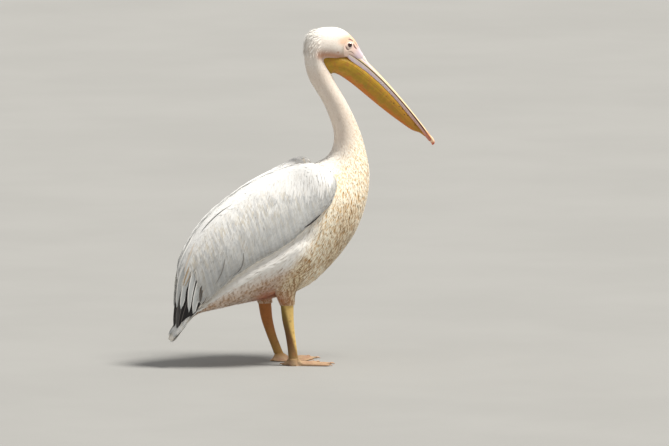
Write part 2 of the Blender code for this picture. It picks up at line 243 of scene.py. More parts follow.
LEG_LINE = {
    "right": ((-0.0635, 0.19), (-0.0605, 0.142), (-0.0545, 0.1), (-0.0484, 0.056), (-0.045, 0.022)),
    "left": ((-0.101, 0.183), (-0.094, 0.134), (-0.08, 0.086), (-0.0645, 0.046), (-0.0545, 0.022)),
}
LEG_DEPTH = (0.0205, 0.018, 0.0152, 0.0145, 0.015)
LEG_WIDTH = (0.015, 0.0125, 0.0095, 0.009, 0.0112)
ANKLE = {"right": (-0.045, -0.07), "left": (-0.053, 0.07)}
ANKLE_TOP, WEB_THICKNESS, TOE_HALF_WIDTH, HEEL_RADIUS, SHANK_END = 0.022, 0.0035, 0.0065, 0.0145, 0.013
TOE_ANGLES = (-22.0, -1.0, 26.0, 143.0)  # outer, middle, inner, hind
TOE_LENGTHS = (0.112, 0.122, 0.1, 0.036)


def between(rows, place):
    """Smooth curves through rows of numbers, read at places counted in rows."""
    rows, place = np.asarray(rows, float), np.asarray(place, float)
    last = len(rows) - 1
    first = np.clip(place.astype(int), 0, last - 1)
    t = (np.clip(place, 0, last) - first)[:, None]
    before, here, there, after = (rows[np.clip(first + k, 0, last)] for k in (-1, 0, 1, 2))
    return (before * (-0.5 * t + t * t - 0.5 * t**3) + here * (1 - 2.5 * t * t + 1.5 * t**3)
            + there * (0.5 * t + 2 * t * t - 1.5 * t**3) + after * (-0.5 * t * t + 0.5 * t**3))


def unit(vectors):
    return vectors / (np.linalg.norm(vectors, axis=-1, keepdims=True) + 1e-12)


def rise(value, low, high):
    """0 where the value is low, 1 where it is high, smooth between."""
    t = np.clip((value - low) / (high - low), 0, 1)
    return t * t * (3 - 2 * t)


def bell(value, width):
    """1 where the value is 0, falling smoothly to 0 on both sides."""
    return np.exp(-((value / width) ** 2))


def circle(count):
    """Angles in even steps of one full turn."""
    return 2 * np.pi * np.arange(count) / count


def net_faces(rings, around):
    """The four-cornered faces between rings of points."""
    i, j = np.meshgrid(np.arange(rings - 1), np.arange(around), indexing="ij")
    k = (j + 1) % around
    return np.stack([i * around + j, i * around + k, (i + 1) * around + k, (i + 1) * around + j],
                    -1).reshape(-1, 4)


class Form:
    """A part of the bird as rings of points. A place on it is a ring number and a turn number."""

    def __init__(self, rings):
        self.points = np.asarray(rings, float)
        self.rings, self.round = self.points.shape[:2]
        along = np.gradient(self.points, axis=0)
        about = (np.roll(self.points, -1, 1) - np.roll(self.points, 1, 1)) / 2
        out = unit(np.cross(along, about))
        self.turned = ((self.points - self.points.mean(1, keepdims=True)) * out).sum() < 0
        self.out = -out if self.turned else out
        self.net = np.concatenate([self.points, along, about, self.out], 2)

    def at(self, ring, turn):
        """Point, step along, step about and outward direction at places on the form."""
        ring = np.clip(ring, 0, self.rings - 1.001)
        i, j = ring.astype(int), np.floor(turn).astype(int)
        a, b = (ring - i)[:, None], (turn - j)[:, None]
        here, there = j % self.round, (j + 1) % self.round
        v = ((self.net[i, here] * (1 - a) + self.net[i + 1, here] * a) * (1 - b)
             + (self.net[i, there] * (1 - a) + self.net[i + 1, there] * a) * b)
        return v[:, 0:3], v[:, 3:6], v[:, 6:9], unit(v[:, 9:12])

    def unwrap(self, ring, turn, wide=1, start=0):
        """Where places on the form lie on its unwrap."""
        return np.stack([turn % self.round / self.round * wide + start, ring / self.rings], 1)

    def shell(self, points):
        """Points of this form's rings as a closed shell: its points and its faces."""
        rings, around = points.shape[:2]
        quads = net_faces(rings, around)
        j, last, end = np.arange(around), (rings - 1) * around, rings * around
        k = (j + 1) % around
        caps = np.concatenate([np.stack([k, j, 0 * j + end], -1),
                               np.stack([j + last, k + last, 0 * j + end + 1], -1)])
        if not self.turned:
            quads, caps = quads[:, ::-1], caps[:, ::-1]
        return np.concatenate([points.reshape(-1, 3), points[[0, -1]].mean(1)]), quads, caps


def even_places(rows, spacing):
    """Places along rows of sections, so that rings stand as far apart as spacing(place) says."""
    fine = np.linspace(0, len(rows) - 1, 4000)
    v = between(rows, fine)
    middle = np.stack([v[:, 0] + v[:, 2], v[:, 1] + v[:, 3]], 1) / 2
    steps = np.linalg.norm(np.diff(middle, axis=0), axis=1) / spacing(fine[1:])
    count = np.concatenate([[0], np.cumsum(steps)])
    return np.interp(np.linspace(0, count[-1], int(count[-1]) + 1), count, fine)


def body_rings(place):
    v = between(BODY, place)
    top = np.stack([v[:, 0], np.zeros(len(v)), v[:, 1]], 1)
    low = np.stack([v[:, 2], np.zeros(len(v)), v[:, 3]], 1)
    turns = circle(BODY_ROUND)
    c, s = (np.sign(f) * np.abs(f) ** v[:, 6:7] for f in (np.cos(turns), np.sin(turns)))
    centre, half = (top + low) / 2, (top - low) / 2
    rings = centre[:, None] + half[:, None] * c[..., None]
    rings[..., 1] += v[:, 4:5] * s * (1 - v[:, 5:6] * c)
    x, y, z = (rings[..., k] for k in range(3))
    wing_edge = np.interp(x, (-0.34, -0.31, -0.27, -0.22, -0.17, -0.11, -0.05),
                          (0.19, 0.215, 0.25, 0.295, 0.325, 0.36, 0.4))
    full = np.interp(x, (-0.37, -0.34, -0.31, -0.27, -0.22, -0.17, -0.05, 0.01),
                     (0, 0.01, 0.021, 0.025, 0.023, 0.02, 0.014, 0))
    below = wing_edge - z
    rings[..., 1] += (np.sign(y) * full * rise(below, -0.012, 0.028) * rise(below, 0.13, 0.06)
                      * rise(np.abs(y), 0, 0.03))
    return rings


body_place = even_places(BODY, lambda place: np.interp(
    place, (0, 5, 6, 15, 19, 23, 25, 29), (0.005, 0.006, 0.009, 0.007, 0.004, 0.0028, 0.0014, 0.0014)))
body = Form(body_rings(body_place))


def ring_at(place):
    """The ring number of the body at a place counted in rows of BODY."""
    return np.interp(place, body_place, np.arange(body.rings))


def place_at(ring):
    return np.interp(ring, np.arange(body.rings), body_place)


def wing_rings(side):
    v = between(WING, np.linspace(0, len(WING) - 1, WING_RINGS))
    top, low = v[:, 0:3], v[:, 3:6]
    chord = top - low
    out = unit(np.cross(np.gradient((top + low) / 2, axis=0), chord))
    turns = circle(WING_ROUND)
    share = (1 + np.cos(turns)) / 2
    stand = np.sin(turns) * np.where(turns < np.pi, v[:, 6:7], v[:, 7:8])
    rings = low[:, None] + chord[:, None] * share[None, :, None] + out[:, None] * stand[..., None]
    rings[..., 1] = side * np.maximum(rings[..., 1], 0.0004)
    ring = np.arange(WING_RINGS)[:, None]
    rings[..., 0] += (side > 0) * (0.01 * rise(ring, 40, 16) - 0.018 * rise(ring, 14, 4))
    rings[..., 2] -= (side > 0) * 0.01 * rise(ring, 14, 4)
    return rings


wings = {name: Form(wing_rings(side)) for name, side in SIDES.items()}


def level_rings(rows, turns, way=1):
    """Level rings at rows of x, y, z, half length and half width."""
    x, y, z, deep, wide = (rows[:, k : k + 1] for k in range(5))
    return np.stack([x + deep * np.cos(turns), y + way * wide * np.sin(turns), z + 0 * turns], -1)


def thigh_rings(name, side):
    x, z = LEG_LINE[name][0]
    stations = (((x - 0.005) / 2, side * 0.056, 0.345, 0.056, 0.042),
                (x * 0.9 + 0.012, side * 0.062, 0.285, 0.048, 0.038),
                (x - 0.004, side * 0.065, z + 0.044, 0.0335, 0.027),
                (x + 0.001, side * 0.064, z, 0.0228, 0.0185))
    return level_rings(between(stations, np.linspace(0, 3, 34)), circle(48))


thighs = {name: Form(thigh_rings(name, side)) for name, side in SIDES.items()}


def web_edge(angles):
    """How far the outline of a foot is from its ankle, at angles in degrees from straight ahead."""
    reach = np.full(len(angles), HEEL_RADIUS)
    for here, there, a, b in zip(TOE_ANGLES, TOE_ANGLES[1:], TOE_LENGTHS, TOE_LENGTHS[1:]):
        share = np.clip((angles - here) / (there - here), 0, 1)
        dip = 0.2 if there < TOE_ANGLES[-1] else 0.34
        webbed = (a + (b - a) * share) * (1 - dip * np.sin(np.pi * share) ** 0.7)
        reach = np.where((angles >= here) & (angles <= there), webbed, reach)
    for off, length in ((TOE_ANGLES[0] - angles, TOE_LENGTHS[0]),
                        (angles - TOE_ANGLES[-1], TOE_LENGTHS[-1])):
        side_on = TOE_HALF_WIDTH / np.maximum(np.sin(np.radians(np.clip(off, 0, 90))), 1e-6)
        rounded = np.maximum(np.minimum(length, side_on), HEEL_RADIUS)
        reach = np.where((off > 0) & (off < 90), rounded, reach)
    return reach


def foot_height(distance, angles):
    """The top of a foot over the floor: scaled toes stand as ridges out of a thin web."""
    height = np.full(distance.shape, WEB_THICKNESS)
    for toe, length in zip(TOE_ANGLES, TOE_LENGTHS):
        off = np.radians(np.abs(angles - toe))
        aside = distance * np.sin(np.minimum(off, np.pi / 2))
        share = np.minimum(distance / length, 1)
        knuckle = 0.0009 * np.sin(share * np.pi * 3.2) ** 2 + 0.00035 * np.abs(np.sin(distance / 0.0023))
        ridge = 0.0132 - 0.0065 * share + knuckle - WEB_THICKNESS
        height = np.maximum(height, WEB_THICKNESS + ridge * bell(aside, TOE_HALF_WIDTH))
    return height + (ANKLE_TOP - height) * bell(np.maximum(distance - SHANK_END, 0), 0.01)


def leg_rings(name, side):
    """A bare leg and its webbed foot as one run of rings, down the shank and out to the web's edge."""
    angles = np.concatenate([np.linspace(-34, 36, 76), np.linspace(42, 124, 12), np.linspace(128, 160, 17),
                             np.linspace(168, 320, 20)])
    turns = np.radians(angles)
    rows = [(x, side * (0.064 + 0.006 * k / 4), z, deep, wide)
            for k, ((x, z), deep, wide) in enumerate(zip(LEG_LINE[name], LEG_DEPTH, LEG_WIDTH))]
    shank = level_rings(between(rows, np.linspace(-0.02, 4, 52)), turns, -side)
    x, y = ANKLE[name]
    foot = []
    for share, drop in (*((s, 1.0) for s in np.linspace(0.03, 1, 30)), (1.0, 0.62), (1.0, 0.3), (0.75, 0.0)):
        reach = SHANK_END + (np.maximum(web_edge(angles), HEEL_RADIUS) - SHANK_END) * share
        height = foot_height(reach, np.where(angles > 180, angles - 360, angles))
        ahead, aside = reach * np.cos(turns), side * reach * np.sin(turns)
        foot.append(np.stack([x + ahead, y - aside, height * drop], -1))
    return np.concatenate([shank, np.array(foot)])


legs = {name: Form(leg_rings(name, side)) for name, side in SIDES.items()}


# --- skin ---
# One skin under the whole coat, a coat's depth inside the bird's outline. It comes out bare on the
# face, where it folds round the eyes, and on the legs and webbed feet, which are scaled.

EYE, EYE_RADIUS = (0.1475, 0.0245, 0.9885), 0.0088
FOLDS = (  # side view points from the middle of the eye, half width, depth
    (((-0.0175, 0.0165), (-0.008, 0.0185), (0.004, 0.016), (0.0125, 0.0105)), 0.0021, 0.0017),
    (((-0.015, -0.0015), (-0.0105, -0.011), (-0.004, -0.0142)), 0.002, 0.0016),
    (((0.0125, 0.003), (0.015, -0.005), (0.0225, -0.0135)), 0.0021, 0.0017),
    (((0.014, 0.0125), (0.0225, 0.001), (0.031, -0.013)), 0.0016, 0.0008),
    (((-0.006, -0.02), (0.005, -0.0215), (0.016, -0.031)), 0.0016, 0.0008),
)


def near_line(x, z, x0, z0, x1, z1, half_width):
    """1 on a line in the side view, falling to 0 away from it."""
    square = (x1 - x0) ** 2 + (z1 - z0) ** 2
    t = np.clip(((x - x0) * (x1 - x0) + (z - z0) * (z1 - z0)) / square, 0, 1)
    off = np.hypot(x - x0 - t * (x1 - x0), z - z0 - t * (z1 - z0))
    return bell(off, half_width)


HEAD_LEVEL = 0.9  # height above the floor at which the marks of the head begin
BARE_FACE = (0.163, 0.975, 0.038)  # middle of the bare skin, x and z, and its radius


def bareness(points):
    """1 where the face is bare skin, 0 where feathers cover it."""
    x, z = points[..., 0], points[..., 2]
    off = np.hypot((x - BARE_FACE[0]) / BARE_FACE[2], (z - BARE_FACE[1]) / BARE_FACE[2])
    return (1 - rise(off, 0.9, 1.06)) * rise(z, HEAD_LEVEL, 0.91)


def folds(points):
    """How deep the soft creases of the face are."""
    x, z = points[..., 0] - EYE[0], points[..., 2] - EYE[2]
    deep = np.zeros(x.shape)
    for path, half_width, depth in FOLDS:
        line = between(path, np.linspace(0, len(path) - 1, 13))
        for k, (here, there) in enumerate(zip(line, line[1:])):
            taper = math.sin(math.pi * (k + 0.5) / 12) ** 0.6
            crease = near_line(x, z, *here, *there, half_width * (0.4 + 0.6 * taper))
            deep = np.maximum(deep, depth * taper * crease)
    return deep


BUFF_EDGE = ((0.18, 0.3, 0.42, 0.52, 0.59, 0.63, 0.67, 0.72, 0.8, 0.86),  # heights, and the x at each
             (-0.1, -0.075, 0.0, 0.03, 0.052, 0.092, 0.114, 0.132, 0.118, 0.108))
VENT, VENT_SIZE = (-0.092, 0.215), (0.036, 0.034)
MARK_LINES = {  # in the side view, from x, z to x, z, and the half width
    "thigh": (0.0, 0.34, -0.055, 0.22, 0.028), "breast": (0.138, 0.5, 0.085, 0.35, 0.036),
    "cheek": (0.052, 0.968, 0.122, 0.953, 0.013), "gape": (0.1125, 0.9675, 0.114, 0.9675, 0.004),
    "brow": (0.126, 1.0, 0.156, 1.014, 0.011), "forehead": (0.156, 1.014, 0.19, 0.968, 0.009),
}


def markings(points, out):
    """The bird's markings by place: buff breast, browner thigh, red vent, rosy cheek, peach brow.
    Some are painted shade in part: the darkened vent, the band under the cheek, the rosy tint of
    the neck and head sides; and painted shade on the underside.
    """
    x, z = points[..., 0], points[..., 2]
    near = {name: near_line(x, z, *line) for name, line in MARK_LINES.items()}
    buff = rise(x - np.interp(z, *BUFF_EDGE), -0.015, 0.045)
    buff = buff * (1 - rise(z, 0.62, 0.86) * 0.9) * (z < HEAD_LEVEL)
    brown = 0.9 * near["thigh"] + 0.65 * near["breast"]
    # under: painted shade, a warm brown where the belly and tail face down
    under = rise(-out[..., 2], 0.1, 0.6) * (1 - rise(x, -0.1, 0.0)) * (z < 0.34)
    # vent: the red-orange stain under the tail, painted darker for the shade between the legs
    vent = np.exp(-(((x - VENT[0]) / VENT_SIZE[0]) ** 2 + ((z - VENT[1]) / VENT_SIZE[1]) ** 2))
    # cheek: a rosy band under the cheek and at the gape, partly rosy skin, partly painted shade under the
    # head
    cheek = np.maximum(near["cheek"], near["gape"]) * (z > HEAD_LEVEL)
    brow = np.maximum(near["brow"], near["forehead"])
    # A rosy tint on the sides of the neck and head that is also painted shade: it fades where the surface
    # faces up to the light, and is weaker on the head
    tint_and_shade = rise(z, 0.6, 0.72) * (1 - 0.75 * rise(out[..., 2], 0.15, 0.75))
    tint_and_shade = tint_and_shade * (1 - 0.4 * rise(z, HEAD_LEVEL, 0.95))
    return {"tint_and_shade": tint_and_shade, "buff": buff, "brown": np.clip(brown, 0, 1) * rise(buff, 0, 0.5), "under": under,
            "vent": vent, "cheek": cheek, "brow": brow}


def piece_from(name, points, faces, layers=None):
    """A mesh piece from points and lists of faces that have the same number of corners."""
    mesh = bpy.data.meshes.new(name)
    mesh.vertices.add(len(points))
    mesh.vertices.foreach_set("co", np.ascontiguousarray(points, np.float32).ravel())
    corners = np.concatenate([f.ravel() for f in faces])
    sizes = np.concatenate([np.full(len(f), f.shape[1]) for f in faces])
    mesh.loops.add(len(corners))
    mesh.loops.foreach_set("vertex_index", corners.astype(np.int32))
    mesh.polygons.add(len(sizes))
    mesh.polygons.foreach_set("loop_start", (np.cumsum(sizes) - sizes).astype(np.int32))
    mesh.update(calc_edges=True)
    mesh.validate()
    mesh.polygons.foreach_set("use_smooth", np.full(len(mesh.polygons), True))
    for layer, values in (layers or {}).items():
        mesh.attributes.new(layer, "FLOAT", "POINT").data.foreach_set("value", values.astype(np.float32))
    piece = bpy.data.objects.new(name, mesh)
    bpy.context.scene.collection.objects.link(piece)
    return piece


def solid(name, form, layers=None, points=None):
    """A closed piece in the shape of a form, or of points on its rings."""
    points, quads, caps = form.shell(form.points if points is None else points)
    return piece_from(name, points, (quads, caps), layers)


def from_eye(points):
    """How far points stand from the middle of the eye in the side view."""
    return np.hypot(points[..., 0] - EYE[0], points[..., 2] - EYE[2])


WING_COAT, THIGH_COAT, WING_SKIN_RINGS = 0.007, 0.006, 74
SOCKET_DEPTH, SOCKET_RADIUS = 0.0028, 0.0135
depth = np.interp(body_place[:, None] + 0 * body.points[..., 0], (0, 5, 7, 12, 15, 20, 23, 24.5),
                  (0.0015, 0.0045, 0.0055, 0.0048, 0.0032, 0.0026, 0.0019, 0.0016))
depth *= 1 - bareness(body.points)
socket = SOCKET_DEPTH * np.exp(-((from_eye(body.points) / SOCKET_RADIUS) ** 6))
depth += socket * (body_place[:, None] > 23)
shells = [body.shell(body.points - body.out * depth[..., None])]
outer = WING_COAT * np.clip(np.sin(circle(WING_ROUND)) * 3, 0, 1)
thin = np.interp(np.arange(WING_RINGS), (0, 20, 60, WING_RINGS - 1), (0.3, 1, 0.8, 0.2))
for wing in wings.values():
    moved = wing.points - wing.out * (outer * thin[:, None])[..., None]
    shells.append(wing.shell(moved[:WING_SKIN_RINGS]))
shells += [thigh.shell(thigh.points - thigh.out * THIGH_COAT) for thigh in thighs.values()]
shells += [leg.shell(leg.points) for leg in legs.values()]
starts = np.cumsum([0] + [len(shell[0]) for shell in shells])
points = np.concatenate([shell[0] for shell in shells])
quads, caps = (np.concatenate([shell[k] + start for shell, start in zip(shells, starts)]) for k in (1, 2))
tree = BVHTree.FromPolygons(shells[0][0].tolist(), shells[0][1].tolist())


def eye_surround(side):
    """The finely folded ring of bare skin round an eye, with thick lids that close on the ball."""
    radii = np.concatenate([np.linspace(0.0066, 0.0106, 14), np.linspace(0.0111, 0.0205, 21)])
    turns = circle(80)
    r = radii[:, None] + 0 * turns
    x, z = r * np.cos(turns), r * np.sin(turns) * 0.94 + 0.0005 * np.cos(turns) ** 2 * (r < 0.0095)
    base = np.empty(x.shape)
    for index in np.ndindex(x.shape):
        aside = Vector((EYE[0] + x[index], side * 0.2, EYE[2] + z[index]))
        base[index] = abs(tree.ray_cast(aside, Vector((0, -side, 0)))[0].y)
    face = base + SOCKET_DEPTH * np.exp(-((r / SOCKET_RADIUS) ** 6))
    ball = EYE[1] + np.sqrt(np.maximum(EYE_RADIUS**2 - (x * x + z * z), 0))
    lid = ball + 0.0011 * rise(r, 0.0066, 0.0074) - 0.0008 * (1 - rise(r, 0.0066, 0.0069))
    bulge = 0.0014 * bell(r - 0.0086, 0.0016) - 0.0009 * bell(r - 0.0107, 0.0009)
    share = rise(r, 0.0074, 0.0086)
    y = lid * (1 - share) + (face + 0.0002) * share + bulge * rise(r, 0.007, 0.008)
    wrinkles = 0.5 + 0.5 * np.sin(5 * turns + r / 0.0011)
    y -= 0.0009 * wrinkles * bell(r - 0.0125, 0.003) * 0.25
    points = np.stack([EYE[0] + x, side * y, EYE[2] + z], -1)
    points[..., 1] -= side * folds(points) * rise(r, 0.0095, 0.0115)
    points[..., 1] -= side * 0.0026 * rise(r, 0.0165, 0.0205)
    return points


for side in SIDES.values():
    ring = eye_surround(side)
    faces = net_faces(*ring.shape[:2])[:, (1, 2, 3, 0) if side > 0 else (0, 3, 2, 1)]
    quads = np.concatenate([quads, faces + len(points)])
    points = np.concatenate([points, ring.reshape(-1, 3)])
on_body = np.arange(len(points)) < body.rings * body.round
skin_out = np.zeros_like(points)
skin_out[on_body] = body.out.reshape(-1, 3)
on_head = (points[:, 2] > HEAD_LEVEL) & (points[:, 0] > 0.05)
points[on_head] -= skin_out[on_head] * folds(points[on_head])[:, None]
leg = np.zeros(len(points))
leg[starts[-3] : starts[-1]] = 1.0
layers = {name: layer * (1 - leg) if name in ("buff", "brown", "under", "vent") else layer
          for name, layer in markings(points, skin_out).items()}
layers.update(bare=bareness(points), leg=leg, far=leg * (points[:, 1] > 0),
              # Painted shade: dark where the face is creased, as much as the crease is deep
              fold=np.clip(folds(points) / 0.0009, 0, 1) ** 1.3 * on_head,
              rim=bell(from_eye(points) - 0.009, 0.0024) * on_head)
skin = piece_from("skin", points, (quads, caps), layers)

hide = Finish("skin", Specular_IOR_Level=0.35)
fine, broad = hide.place.noise(420, 4), hide.place.noise(45, 3)
ahead, height = hide.place.split("X"), hide.place.split("Z")
down = broad.rise(0.3, 0.7).blend((240, 232, 218), (250, 244, 234)).under(
    (hide.layer("buff") * 0.8, (214, 178, 126)), (hide.layer("brown") * 0.8, (176, 134, 84)),
    (hide.layer("vent"), (196, 104, 60)))
face = broad.rise(0.35, 0.68).blend((254, 230, 214), (248, 214, 204)).under(
    (hide.layer("brow") * 0.9, (248, 198, 160)),
    ((ahead - height * 0.4).rise(-0.232, -0.206), (232, 212, 220)),
    # Painted shade: dark brown in the creases round the eye
    (hide.layer("rim") * 0.8, (248, 232, 222)), (hide.layer("fold") * 0.8, (98, 52, 46)))
scales = hide.place.stretched((1, 1, 0.7)).cells(430, "DISTANCE_TO_EDGE")
# A painted highlight: pale yellow down the forward edge of the near leg, where the light falls
lit_front = ahead + height * 0.28 + broad * 0.008
near_leg = (height + broad * 0.03).rise(0.1, 0.19).blend((108, 72, 38), (134, 110, 44))
near_leg = lit_front.rise(-0.026, -0.014).blend(near_leg, (232, 198, 120))
near_leg = (height + broad * 0.02).rise(0.02, 0.09).blend((140, 112, 64), near_leg)
far_leg = (height + broad * 0.05).rise(0.05, 0.16).blend((178, 140, 78), (176, 112, 56))
foot = broad.rise(0.35, 0.7).blend((190, 160, 124), (178, 140, 114))
leg_colour = near_leg.under((hide.layer("far"), far_leg),
                            (hide.place.noise(70, 4).rise(0.5, 0.78) * 0.6, (142, 92, 48)),
                            ((height + broad * 0.006).rise(0.03, 0.012), foot),
                            ((1 - scales.rise(0.0, 0.11)) * 0.14, (104, 74, 40)))
skin_colour = down.under((hide.layer("bare"), face), (hide.layer("leg"), leg_colour))
relief = scales.rise(0.0, 0.2) * hide.layer("leg") * 0.4 + fine * 0.25
skin.data.materials.append(hide.coat(skin_colour, fine.rise(0.2, 0.8) * 0.2 + 0.42, relief, depth=0.0009))
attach(skin, "root")
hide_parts("trunk", "tail", "neck_lower", "neck_middle", "neck_upper", "head", "wing_left",
            "wing_right", "thigh_left", "thigh_right", "shank_left", "shank_right", "foot_left", "foot_right")


# --- eyes ---
# Glass eyes as a taxidermist sets them: a dark pupil in a red-brown iris under a clear, wet dome.
# Each is a ball let into its socket, so that the lids close on it.

for name, side in SIDES.items():
    bpy.ops.object.select_all(action="DESELECT")
    bpy.ops.mesh.primitive_uv_sphere_add(segments=64, ring_count=48, radius=EYE_RADIUS,
                                         location=(EYE[0], side * EYE[1], EYE[2]),
                                         rotation=(math.pi / 2, 0, 0))
    eye = bpy.context.object
    bpy.ops.object.transform_apply(location=True, rotation=True, scale=True)
    for vertex in eye.data.vertices:
        aside = math.hypot(vertex.co.x - EYE[0], vertex.co.z - EYE[2])
        if vertex.co.y * side > EYE[1]:
            vertex.co.y += side * 0.0007 * math.exp(-((aside / 0.0042) ** 2))
    bpy.ops.object.shade_smooth()
    eye.name = "eyeball_" + name
    glass = Finish("eye " + name, Roughness=0.04, Coat_Weight=1.0, Coat_Roughness=0.02, IOR=1.38)
    centred = glass.place.node("ShaderNodeVectorMath", {"operation": "SUBTRACT"},
                               {0: glass.place, 1: (EYE[0], side * EYE[1], EYE[2])})
    flat = centred.node("ShaderNodeVectorMath", {"operation": "MULTIPLY"}, {0: centred, 1: (1, 0, 1)})
    out = flat.node("ShaderNodeVectorMath", {"operation": "LENGTH"}, {0: flat}, "Value")
    spokes = centred.stretched((1, 0.15, 1)).noise(900, 3)
    iris = spokes.rise(0.35, 0.65).blend((48, 16, 14), (86, 32, 24))
    iris = iris.under((out.rise(0.0052, 0.0068), (26, 10, 10)), (out.rise(0.0031, 0.0026), (6, 4, 4)))
    eye.data.materials.append(glass.coat(iris))
    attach(eye, "root")
    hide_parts("eye_" + name)


# --- bill ---
# A long flat upper mandible with a raised ridge and a hooked red nail, over a lower one of two thin
# bars. Horn over bone: lilac and rose, with a cream ridge, partly a painted highlight along its top,
# and dark brown cutting edges, partly painted shade of the gap where the mandibles meet. A thin
# painted highlight runs along the top of the lower bars.

GAPE, KNEE, TIP = ((0.135, 0.966), (0.2492, 0.9087), (0.421, 0.6757))


def mouth_line(share):
    """Points on the line where the mandibles meet, and the directions across it, at shares of it."""
    s = np.asarray(share)[:, None]
    a, b, c = (np.array(p) for p in (GAPE, KNEE, TIP))
    point = a * (1 - s) ** 2 + b * 2 * s * (1 - s) + c * s * s
    along = unit((b - a) * 2 * (1 - s) + (c - b) * 2 * s)
    return point, np.stack([-along[:, 1], along[:, 0]], 1)


def bill_form(rows, rings, around, outline):
    """Rings along the mouth line and their layers; outline(turn) gives the shares aside and up."""
    fine = np.linspace(0, len(rows) - 1, 800)
    place = np.interp(np.linspace(rows[0][0], rows[-1][0], rings), between(rows, fine)[:, 0], fine)
    share, over, under, half = between(rows, place).T
    point, up = mouth_line(share)
    aside, high = outline(circle(around))
    tall = np.where(high > 0, over[:, None], under[:, None]) * high
    flat = point[:, None] + up[:, None] * tall[..., None]
    layers = {"along": np.append(np.repeat(share, around), share[[0, -1]]),
              "high": np.append(np.tile(high, rings), (0, 0))}
    return Form(np.stack([flat[..., 0], half[:, None] * aside, flat[..., 1]], -1)), layers


def upper_outline(turn):
    """A ridge along the middle, a groove beside it, and sides that fall to thin cutting edges."""
    c, s = np.cos(turn), np.sin(turn)
    aside = np.sign(s) * np.abs(s) ** 0.8
    off = np.abs(aside)
    top = np.abs(c) ** 0.62 * (1 - 0.3 * rise(off, 0.2, 0.5) + 0.1 * rise(off, 0.55, 0.8))
    return aside, np.where(c > 0, top, -0.04 * np.abs(c))


def lower_outline(turn):
    """Two bars with a shallow groove along their outer sides."""
    c, s = np.cos(turn), np.sin(turn)
    aside = np.sign(s) * np.abs(s) ** 0.55 * (1 - 0.05 * bell(c + 0.45, 0.18))
    return aside, np.where(c > 0, 0.05 * np.abs(c) ** 0.6, -np.abs(c) ** 0.75)


UPPER_BILL = np.array((  # share of the mouth line, height over it, depth under it, half width
    (0.11, 220, 80, 225), (0.16, 240, 80, 240), (0.2, 190, 80, 236), (0.25, 156, 80, 220),
    (0.3, 132, 80, 200), (0.41, 104, 80, 175), (0.55, 84, 80, 165), (0.7, 70, 80, 172),
    (0.85, 64, 80, 178), (0.975, 60, 80, 125),
)) / (1, TENTHS, TENTHS, TENTHS)
LOWER_BILL = np.array((
    (-0.02, 80, 20, 215), (0.02, 80, 70, 258), (0.09, 80, 160, 266), (0.17, 80, 182, 250),
    (0.33, 80, 165, 205), (0.48, 80, 135, 180), (0.64, 80, 120, 172), (0.8, 80, 120, 174),
    (0.985, 80, 75, 100),
)) / (1, TENTHS, TENTHS, TENTHS)
upper, layers = bill_form(UPPER_BILL, 190, 88, upper_outline)
bill_upper = solid("upper_mandible", upper, layers)
horn = Finish("upper bill", Specular_IOR_Level=0.45)
along, high = horn.layer("along"), horn.layer("high")
grain, blotch = horn.place.noise(240, 4), horn.place.noise(26, 3)
lilac = blotch.rise(0.35, 0.68).blend((232, 216, 232), (214, 196, 210))
cream = grain.rise(0.3, 0.7).blend((250, 232, 188), (244, 216, 166))
# Dark brown at the cutting edges, redder towards the tip: partly painted shade of the gap where the mandibles
# meet
brown = (along + grain * 0.1).rise(0.45, 0.75).blend((74, 46, 40), (134, 62, 46))
# Cream towards the tip and along the top: the ridge's cream, partly a painted highlight on its top
colour = lilac.under(((along + high * 0.25 + blotch * 0.12).rise(0.42, 0.72), cream),
                     ((high + grain * 0.05).rise(0.38, 0.28), cream),
                     ((high - along * 0.3 + grain * 0.05).rise(0.05, -0.03), brown),
                     ((along + grain * 0.03).rise(0.93, 0.96), (236, 176, 132)))
bill_upper.data.materials.append(horn.coat(colour, grain * 0.22 + 0.3, grain, depth=0.0004))

lower, layers = bill_form(LOWER_BILL, 200, 88, lower_outline)
bill_lower = solid("lower_mandible", lower, layers)
bars = Finish("lower bill", Specular_IOR_Level=0.45)
along, high = bars.layer("along"), bars.layer("high")
grain, blotch = bars.place.noise(240, 4), bars.place.noise(40, 3)
nicks = along.node("ShaderNodeCombineXYZ", {}, {0: along * 60, 1: high * 1.2}).noise(2.2, 2)
colour = blotch.rise(0.35, 0.7).blend((255, 244, 254), (244, 224, 242)).under(
    ((along + blotch * 0.1).rise(0.5, 0.95), (222, 180, 172)),
    (nicks.rise(0.5, 0.64) * along.rise(0.25, 0.5) * 0.5, (134, 104, 122)),
    # A painted highlight: a cream line along the top of each bar's side
    ((high + grain * 0.06).rise(-0.34, -0.16), (244, 228, 204)),
    # Painted shade: dark brown along the top edge, in the gap under the upper mandible
    ((high + along * 0.22 + grain * 0.04).rise(-0.06, 0.0), (84, 46, 38)),
    ((0 - high + grain * 0.06).rise(0.84, 0.93), (214, 152, 84)),
    ((along + grain * 0.03).rise(0.085, 0.015), (246, 216, 184)),
    ((along + grain * 0.04).rise(0.9, 0.99) * 0.8, (206, 112, 84)))
relief = nicks * 0.5 + grain * 0.5
bill_lower.data.materials.append(bars.coat(colour, grain * 0.2 + 0.32, relief, depth=0.0005))

